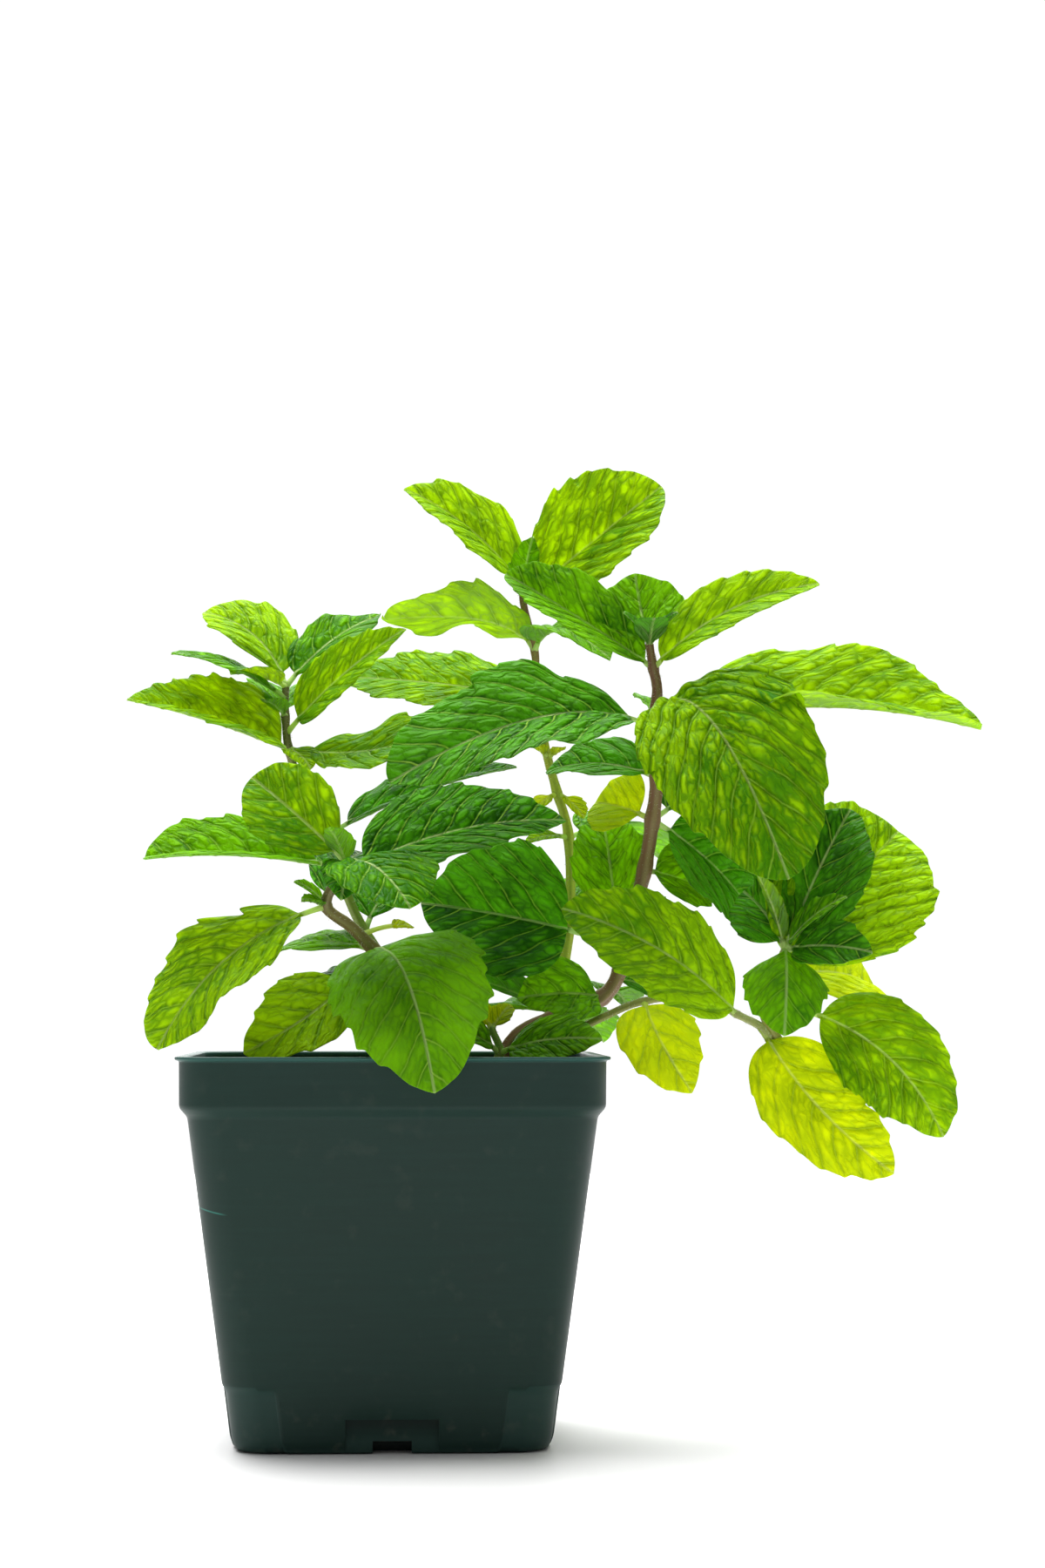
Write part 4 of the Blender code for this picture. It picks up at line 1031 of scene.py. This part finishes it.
def floor_finish():
    made = Finish("floor", 0.6, 0.2)
    cloud = made.noise(60.0, 3)
    grain = made.noise(1.5, 2)
    made.dress(made.mix(cloud, FLOOR_DARK, FLOOR_LIGHT), 0.55 + 0.1 * cloud, grain, 0.03, 0.4)
    return made.material


# pot


def body_half(height):
    """Half the outside width of the pot's body at a height."""
    return BODY_HALF_FOOT + (BODY_HALF_TOP - BODY_HALF_FOOT) * height / BODY_TOP


def cavity_half(height):
    """Half the width of the space inside the pot, below the rim."""
    return body_half(height) - (WALL if height >= THIN_FROM else FOOT_WALL)


def quarter_turn(number):
    return Matrix.Rotation(number * math.pi / 2, 3, "Z")


def square_ring(half, height, inset=0.0):
    """A square with round corners. inset pulls in the stretch near each corner."""
    ring = []
    low = half - RECESS_WIDE - RECESS_SLOPE / 2
    high = low + RECESS_SLOPE
    for quarter in range(4):
        turn = quarter_turn(quarter)
        side = [(half, low * (2 * k / WALL_STEPS - 1)) for k in range(1, WALL_STEPS)]
        side += [(half, low), (half - inset, high)]
        centre = half - inset - BODY_CORNER
        for n in range(CORNER_STEPS + 1):
            angle = n * math.pi / 2 / CORNER_STEPS
            side.append((centre + BODY_CORNER * math.cos(angle), centre + BODY_CORNER * math.sin(angle)))
        side += [(high, half - inset), (low, half)]
        ring += [turn @ Vector((x, y, height)) for x, y in side]
    return ring


def rounded(profile):
    """A profile of half width, height and recess with its corners rounded off."""
    points = [Vector(p) for p in profile]
    made = [points[0]]
    for before, here, after in zip(points, points[1:], points[2:]):
        back, ahead = before - here, after - here
        reach = min(POT_EDGE_ROUND, back.length * 0.45, ahead.length * 0.45)
        start = here + back.normalized() * reach
        end = here + ahead.normalized() * reach
        for k in range(ROUND_STEPS + 1):
            t = k / ROUND_STEPS
            made.append(start * (1 - t) ** 2 + here * (2 * t * (1 - t)) + end * t**2)
    return made + [points[-1]]


def pot_profile():
    """Up the outside, over the lip and down the inside: half width, height, recess."""
    ledge = RECESS_TOP + RECESS_LEDGE
    lip_low = POT_HEIGHT - LIP_THICK
    points = [(body_half(0) - FOOT_ROUND, 0, RECESS_DEEP), (body_half(0) - 0.5, 0.3, RECESS_DEEP)]
    points += [(body_half(z), z, RECESS_DEEP) for z in (FOOT_ROUND, RECESS_TOP)]
    points += [(body_half(z), z, 0) for z in (ledge, 50)]
    points += [
        (BODY_HALF_TOP, BODY_TOP, 0), (BAND_HALF, BAND_LOW, 0), (BAND_HALF + 0.1, lip_low, 0),
        (LIP_HALF, lip_low + 0.2, 0), (LIP_HALF, POT_HEIGHT, 0), (BAND_HALF - WALL, POT_HEIGHT, 0),
        (BAND_HALF - WALL, BAND_LOW, 0), (BODY_HALF_TOP - WALL, BODY_TOP, 0),
    ]
    points += [(cavity_half(z), z, 0) for z in (THIN_FROM, FOOT_WALL_TOP, FLOOR)]
    return rounded(points)


def loft(rings):
    """Skin a stack of equal rings into a closed body."""
    count = len(rings[0])
    faces = [tuple(int(k) for k in face) for face in ring_faces(len(rings), count)]
    faces.append(tuple(reversed(range(count))))
    faces.append(tuple(range((len(rings) - 1) * count, len(rings) * count)))
    return [p for ring in rings for p in ring], faces


def solid(name, points, faces):
    """A closed body from points in millimetres, with its faces turned outwards."""
    mesh = bpy.data.meshes.new(name)
    mesh.from_pydata([Vector(p) * MM for p in points], [], faces)
    shape = bmesh.new()
    shape.from_mesh(mesh)
    bmesh.ops.recalc_face_normals(shape, faces=shape.faces)
    shape.to_mesh(mesh)
    shape.free()
    return add_object(name, mesh)


def apply_modifiers(made):
    graph = bpy.context.evaluated_depsgraph_get()
    result = bpy.data.meshes.new_from_object(made.evaluated_get(graph))
    made.modifiers.clear()
    made.data = result


def cut(made, cutters):
    """Take cutters out of a body, then remove them."""
    for cutter in cutters:
        change = made.modifiers.new("cut", "BOOLEAN")
        change.operation = "DIFFERENCE"
        change.solver = "EXACT"
        change.object = cutter
    apply_modifiers(made)
    for cutter in cutters:
        bpy.data.objects.remove(cutter, do_unlink=True)


def soften(made, width, angle):
    """Round the sharp edges a little and shade the rest smooth."""
    change = made.modifiers.new("edges", "BEVEL")
    change.width = width * MM
    change.segments = 2
    change.limit_method = "ANGLE"
    change.angle_limit = math.radians(angle)
    apply_modifiers(made)
    made.data.shade_smooth()
    made.data.set_sharp_from_angle(angle=math.radians(angle))


def side_cutter(wide, tall, deep, turn):
    """A block that cuts into the foot of one side of the pot, in the middle."""
    outer = body_half(tall)
    back, front = deep - outer, -outer - CUT_PAST
    points = []
    for z in (-CUT_PAST, tall):
        for x, y in ((-1, front), (1, front), (1, back), (-1, back)):
            points.append(turn @ Vector((x * wide / 2, y, z)))
    faces = [(3, 2, 1, 0), (4, 5, 6, 7), (0, 1, 5, 4), (1, 2, 6, 5), (2, 3, 7, 6), (3, 0, 4, 7)]
    return solid("cutter", points, faces)


def add_pot(finish):
    rings = [square_ring(*level) for level in pot_profile()]
    pot = solid("pot_shell", *loft(rings))
    sizes = ((POCKET_WIDE, POCKET_TALL, POCKET_DEEP), (SLOT_WIDE, SLOT_TALL, SLOT_REACH))
    cut(pot, [side_cutter(*size, quarter_turn(n)) for n in range(4) for size in sizes])
    soften(pot, BEVEL, BEVEL_FROM)
    add_pot_values(pot.data)
    place(pot, "pot", finish)


def add_pot_values(mesh):
    """Each point's height, and how far it lies inside the side's plane, in millimetres."""
    count = len(mesh.vertices)
    spots = np.empty(count * 3, np.float32)
    mesh.vertices.foreach_get("co", spots)
    spots = spots.reshape(-1, 3) / MM
    low, high = np.sort(np.abs(spots[:, :2]), axis=1).T
    outer = body_half(spots[:, 2])
    foot = spots[:, 2] < RECESS_TOP + RECESS_LEDGE
    flat = low < outer - BODY_CORNER
    inset = np.where(foot, np.where(flat, outer - high, RECESS_DEEP), 0.0)
    add_values(mesh, {"height": spots[:, 2], "inset": inset})


# potting mix


def soil_height(x, y):
    """The mix's top at a place: the solid's own lumps with finer crumbs on them."""
    spot = Vector((x, y, 0))
    lump = noise.noise(spot / LUMP_SIZE + NOISE_START) * SOIL_ROUGH
    fine = sum(noise.noise(spot / size + NOISE_START) * rise for size, rise in FINE_LUMPS)
    return SOIL_TOP + lump + fine


def add_soil(finish, chip_finish, draw):
    """The root ball, with a crumbly top and loose crumbs and bark chips lying on it."""
    body = BODY_HALF_TOP - WALL - FIT
    band = BAND_HALF - WALL - FIT
    levels = [
        (cavity_half(FLOOR) - FIT, FLOOR + FIT), (cavity_half(FOOT_WALL_TOP) - FIT, FOOT_WALL_TOP),
        (cavity_half(THIN_FROM) - FIT, THIN_FROM + FIT), (body, BODY_TOP), (band, BAND_LOW + FIT),
        (band, SOIL_TOP - 1),
    ]
    rings = [square_ring(*level) for level in levels]
    rim = rings[-1]
    for step in range(SOIL_STEPS):
        size = RIM_GAP * (1 - step / SOIL_STEPS)
        inner = [(p.x * size, p.y * size) for p in rim]
        rings.append([Vector((x, y, soil_height(x, y))) for x, y in inner])
    soil = solid("soil_ball", *loft(rings))
    soil.data.shade_smooth()
    place(soil, "soil", finish)
    crumbs = draw.uniform(-1, 1, (CRUMBS, 2)) * (band - 2)
    points, faces = [], []
    for x, y in crumbs:
        size = draw.uniform(*CRUMB_SIZES) * (CHIP_SIZE if draw.uniform() > CHIPS_ABOVE else 1.0)
        middle = Vector((x, y, soil_height(x, y) + size * CRUMB_LIFT))
        stretch = draw.uniform(*CRUMB_SIZES, 3) * size
        start = len(points)
        turn = Matrix.Rotation(draw.uniform(0, math.pi), 3, "Z")
        turn = turn @ Matrix.Rotation(draw.uniform(-CRUMB_TILT, CRUMB_TILT), 3, "X")
        for corner in CRUMB_CORNERS:
            rough = Vector(np.array(corner) * stretch * draw.uniform(*CRUMB_ROUGH))
            points.append(middle + turn @ rough)
        faces += [tuple(start + k for k in face) for face in CRUMB_FACES]
    place(solid("soil_crumbs", points, faces), "soil", chip_finish)


# plant


def add_leaves(finishes):
    """Every leaf as its own piece, in the finish that its row names."""
    plan = [(name, STEMS[name], spec) for name, specs in LEAVES.items() for spec in specs]
    plan += [("stem_trailing", TRAILING_SHOOT, spec) for spec in SHOOT_LEAVES]
    for number, (name, path, spec) in enumerate(plan):
        draw = np.random.default_rng(SEED + number)
        surface = leaf_surface(root_point(path, spec), spec, draw)
        piece = add_mesh(f"leaf_{number:02d}", *surface)
        place(piece, name, finishes[spec.finish])


def add_stems(hairs):
    for number, (name, path) in enumerate(STEMS.items()):
        draw = np.random.default_rng(SEED * 10 + number)
        finish = stem_finish(name, *STEM_COLOURS[name])
        joints = sorted({spec.at for spec in LEAVES[name] if spec.at == int(spec.at)})
        paths = [(name + "_stalk", path, joints)]
        if name == "stem_trailing":
            paths.append((name + "_shoot", TRAILING_SHOOT, [2, 3, 4]))
        for label, route, joints in paths:
            surface = stem_surface(route, joints, draw)
            place(add_mesh(label, *surface), name, finish)
            amount = int(HAIRS_A_MM * sum(math.dist(a[:3], b[:3]) for a, b in zip(route, route[1:])))
            points, faces = stem_hairs(route, draw, amount)
            place(add_mesh(label + "_hair", points, faces, smooth=False), name, hairs)


# stage


def add_floor():
    bpy.ops.mesh.primitive_circle_add(
        vertices=FLOOR_CORNERS, radius=FLOOR_RADIUS, fill_type="NGON", location=(0, 0, 0)
    )
    floor = bpy.context.object
    floor.name = "floor"
    floor.data.materials.append(floor_finish())


def aim_at(made, spot, aim, scale=1.0):
    """Put a lamp or camera at a spot and point it at another."""
    spot = Vector(spot)
    made.location = spot * scale
    made.rotation_euler = (Vector(aim) - spot).to_track_quat("-Z", "Y").to_euler()


def add_lamp(name, spot, aim, size, power):
    light = bpy.data.lights.new(name, "AREA")
    light.shape = "DISK"
    light.size = size
    light.energy = power
    aim_at(add_object(name, light), spot, aim)


def add_studio():
    world = bpy.data.worlds.new("studio")
    world.use_nodes = True
    nodes, links = world.node_tree.nodes, world.node_tree.links
    soft = nodes["Background"]
    seen = nodes.new("ShaderNodeBackground")
    rays = nodes.new("ShaderNodeLightPath")
    both = nodes.new("ShaderNodeMixShader")
    for backdrop, strength in ((soft, WORLD_LIGHT), (seen, BACKDROP_LIGHT)):
        backdrop.inputs["Color"].default_value = (1.0, 1.0, 1.0, 1.0)
        backdrop.inputs["Strength"].default_value = strength
    links.new(rays.outputs["Is Camera Ray"], both.inputs[0])
    links.new(soft.outputs[0], both.inputs[1])
    links.new(seen.outputs[0], both.inputs[2])
    links.new(both.outputs[0], nodes["World Output"].inputs["Surface"])
    bpy.context.scene.world = world
    bpy.context.scene.view_settings.view_transform = "Standard"
    for lamp in LAMPS:
        add_lamp(*lamp)


def add_camera():
    camera = bpy.data.cameras.new("camera")
    camera.sensor_width = SENSOR
    camera.lens = FOCAL_PIXELS / PHOTO_TALL_PIXELS * SENSOR
    made = add_object("camera", camera)
    aim_at(made, CAMERA_AT, CAMERA_AIM, MM)
    bpy.context.scene.camera = made


def main():
    draw = np.random.default_rng(SEED)
    add_pot(pot_finish())
    soil = soil_finish("soil", SOIL_DARK, SOIL_LIGHT)
    add_soil(soil, soil_finish("bark", CHIP_DARK, CHIP_LIGHT), draw)
    add_leaves({name: leaf_finish(name, *parts) for name, parts in LEAF_FINISHES.items()})
    add_stems(hair_finish())
    add_floor()
    add_studio()
    add_camera()


main()
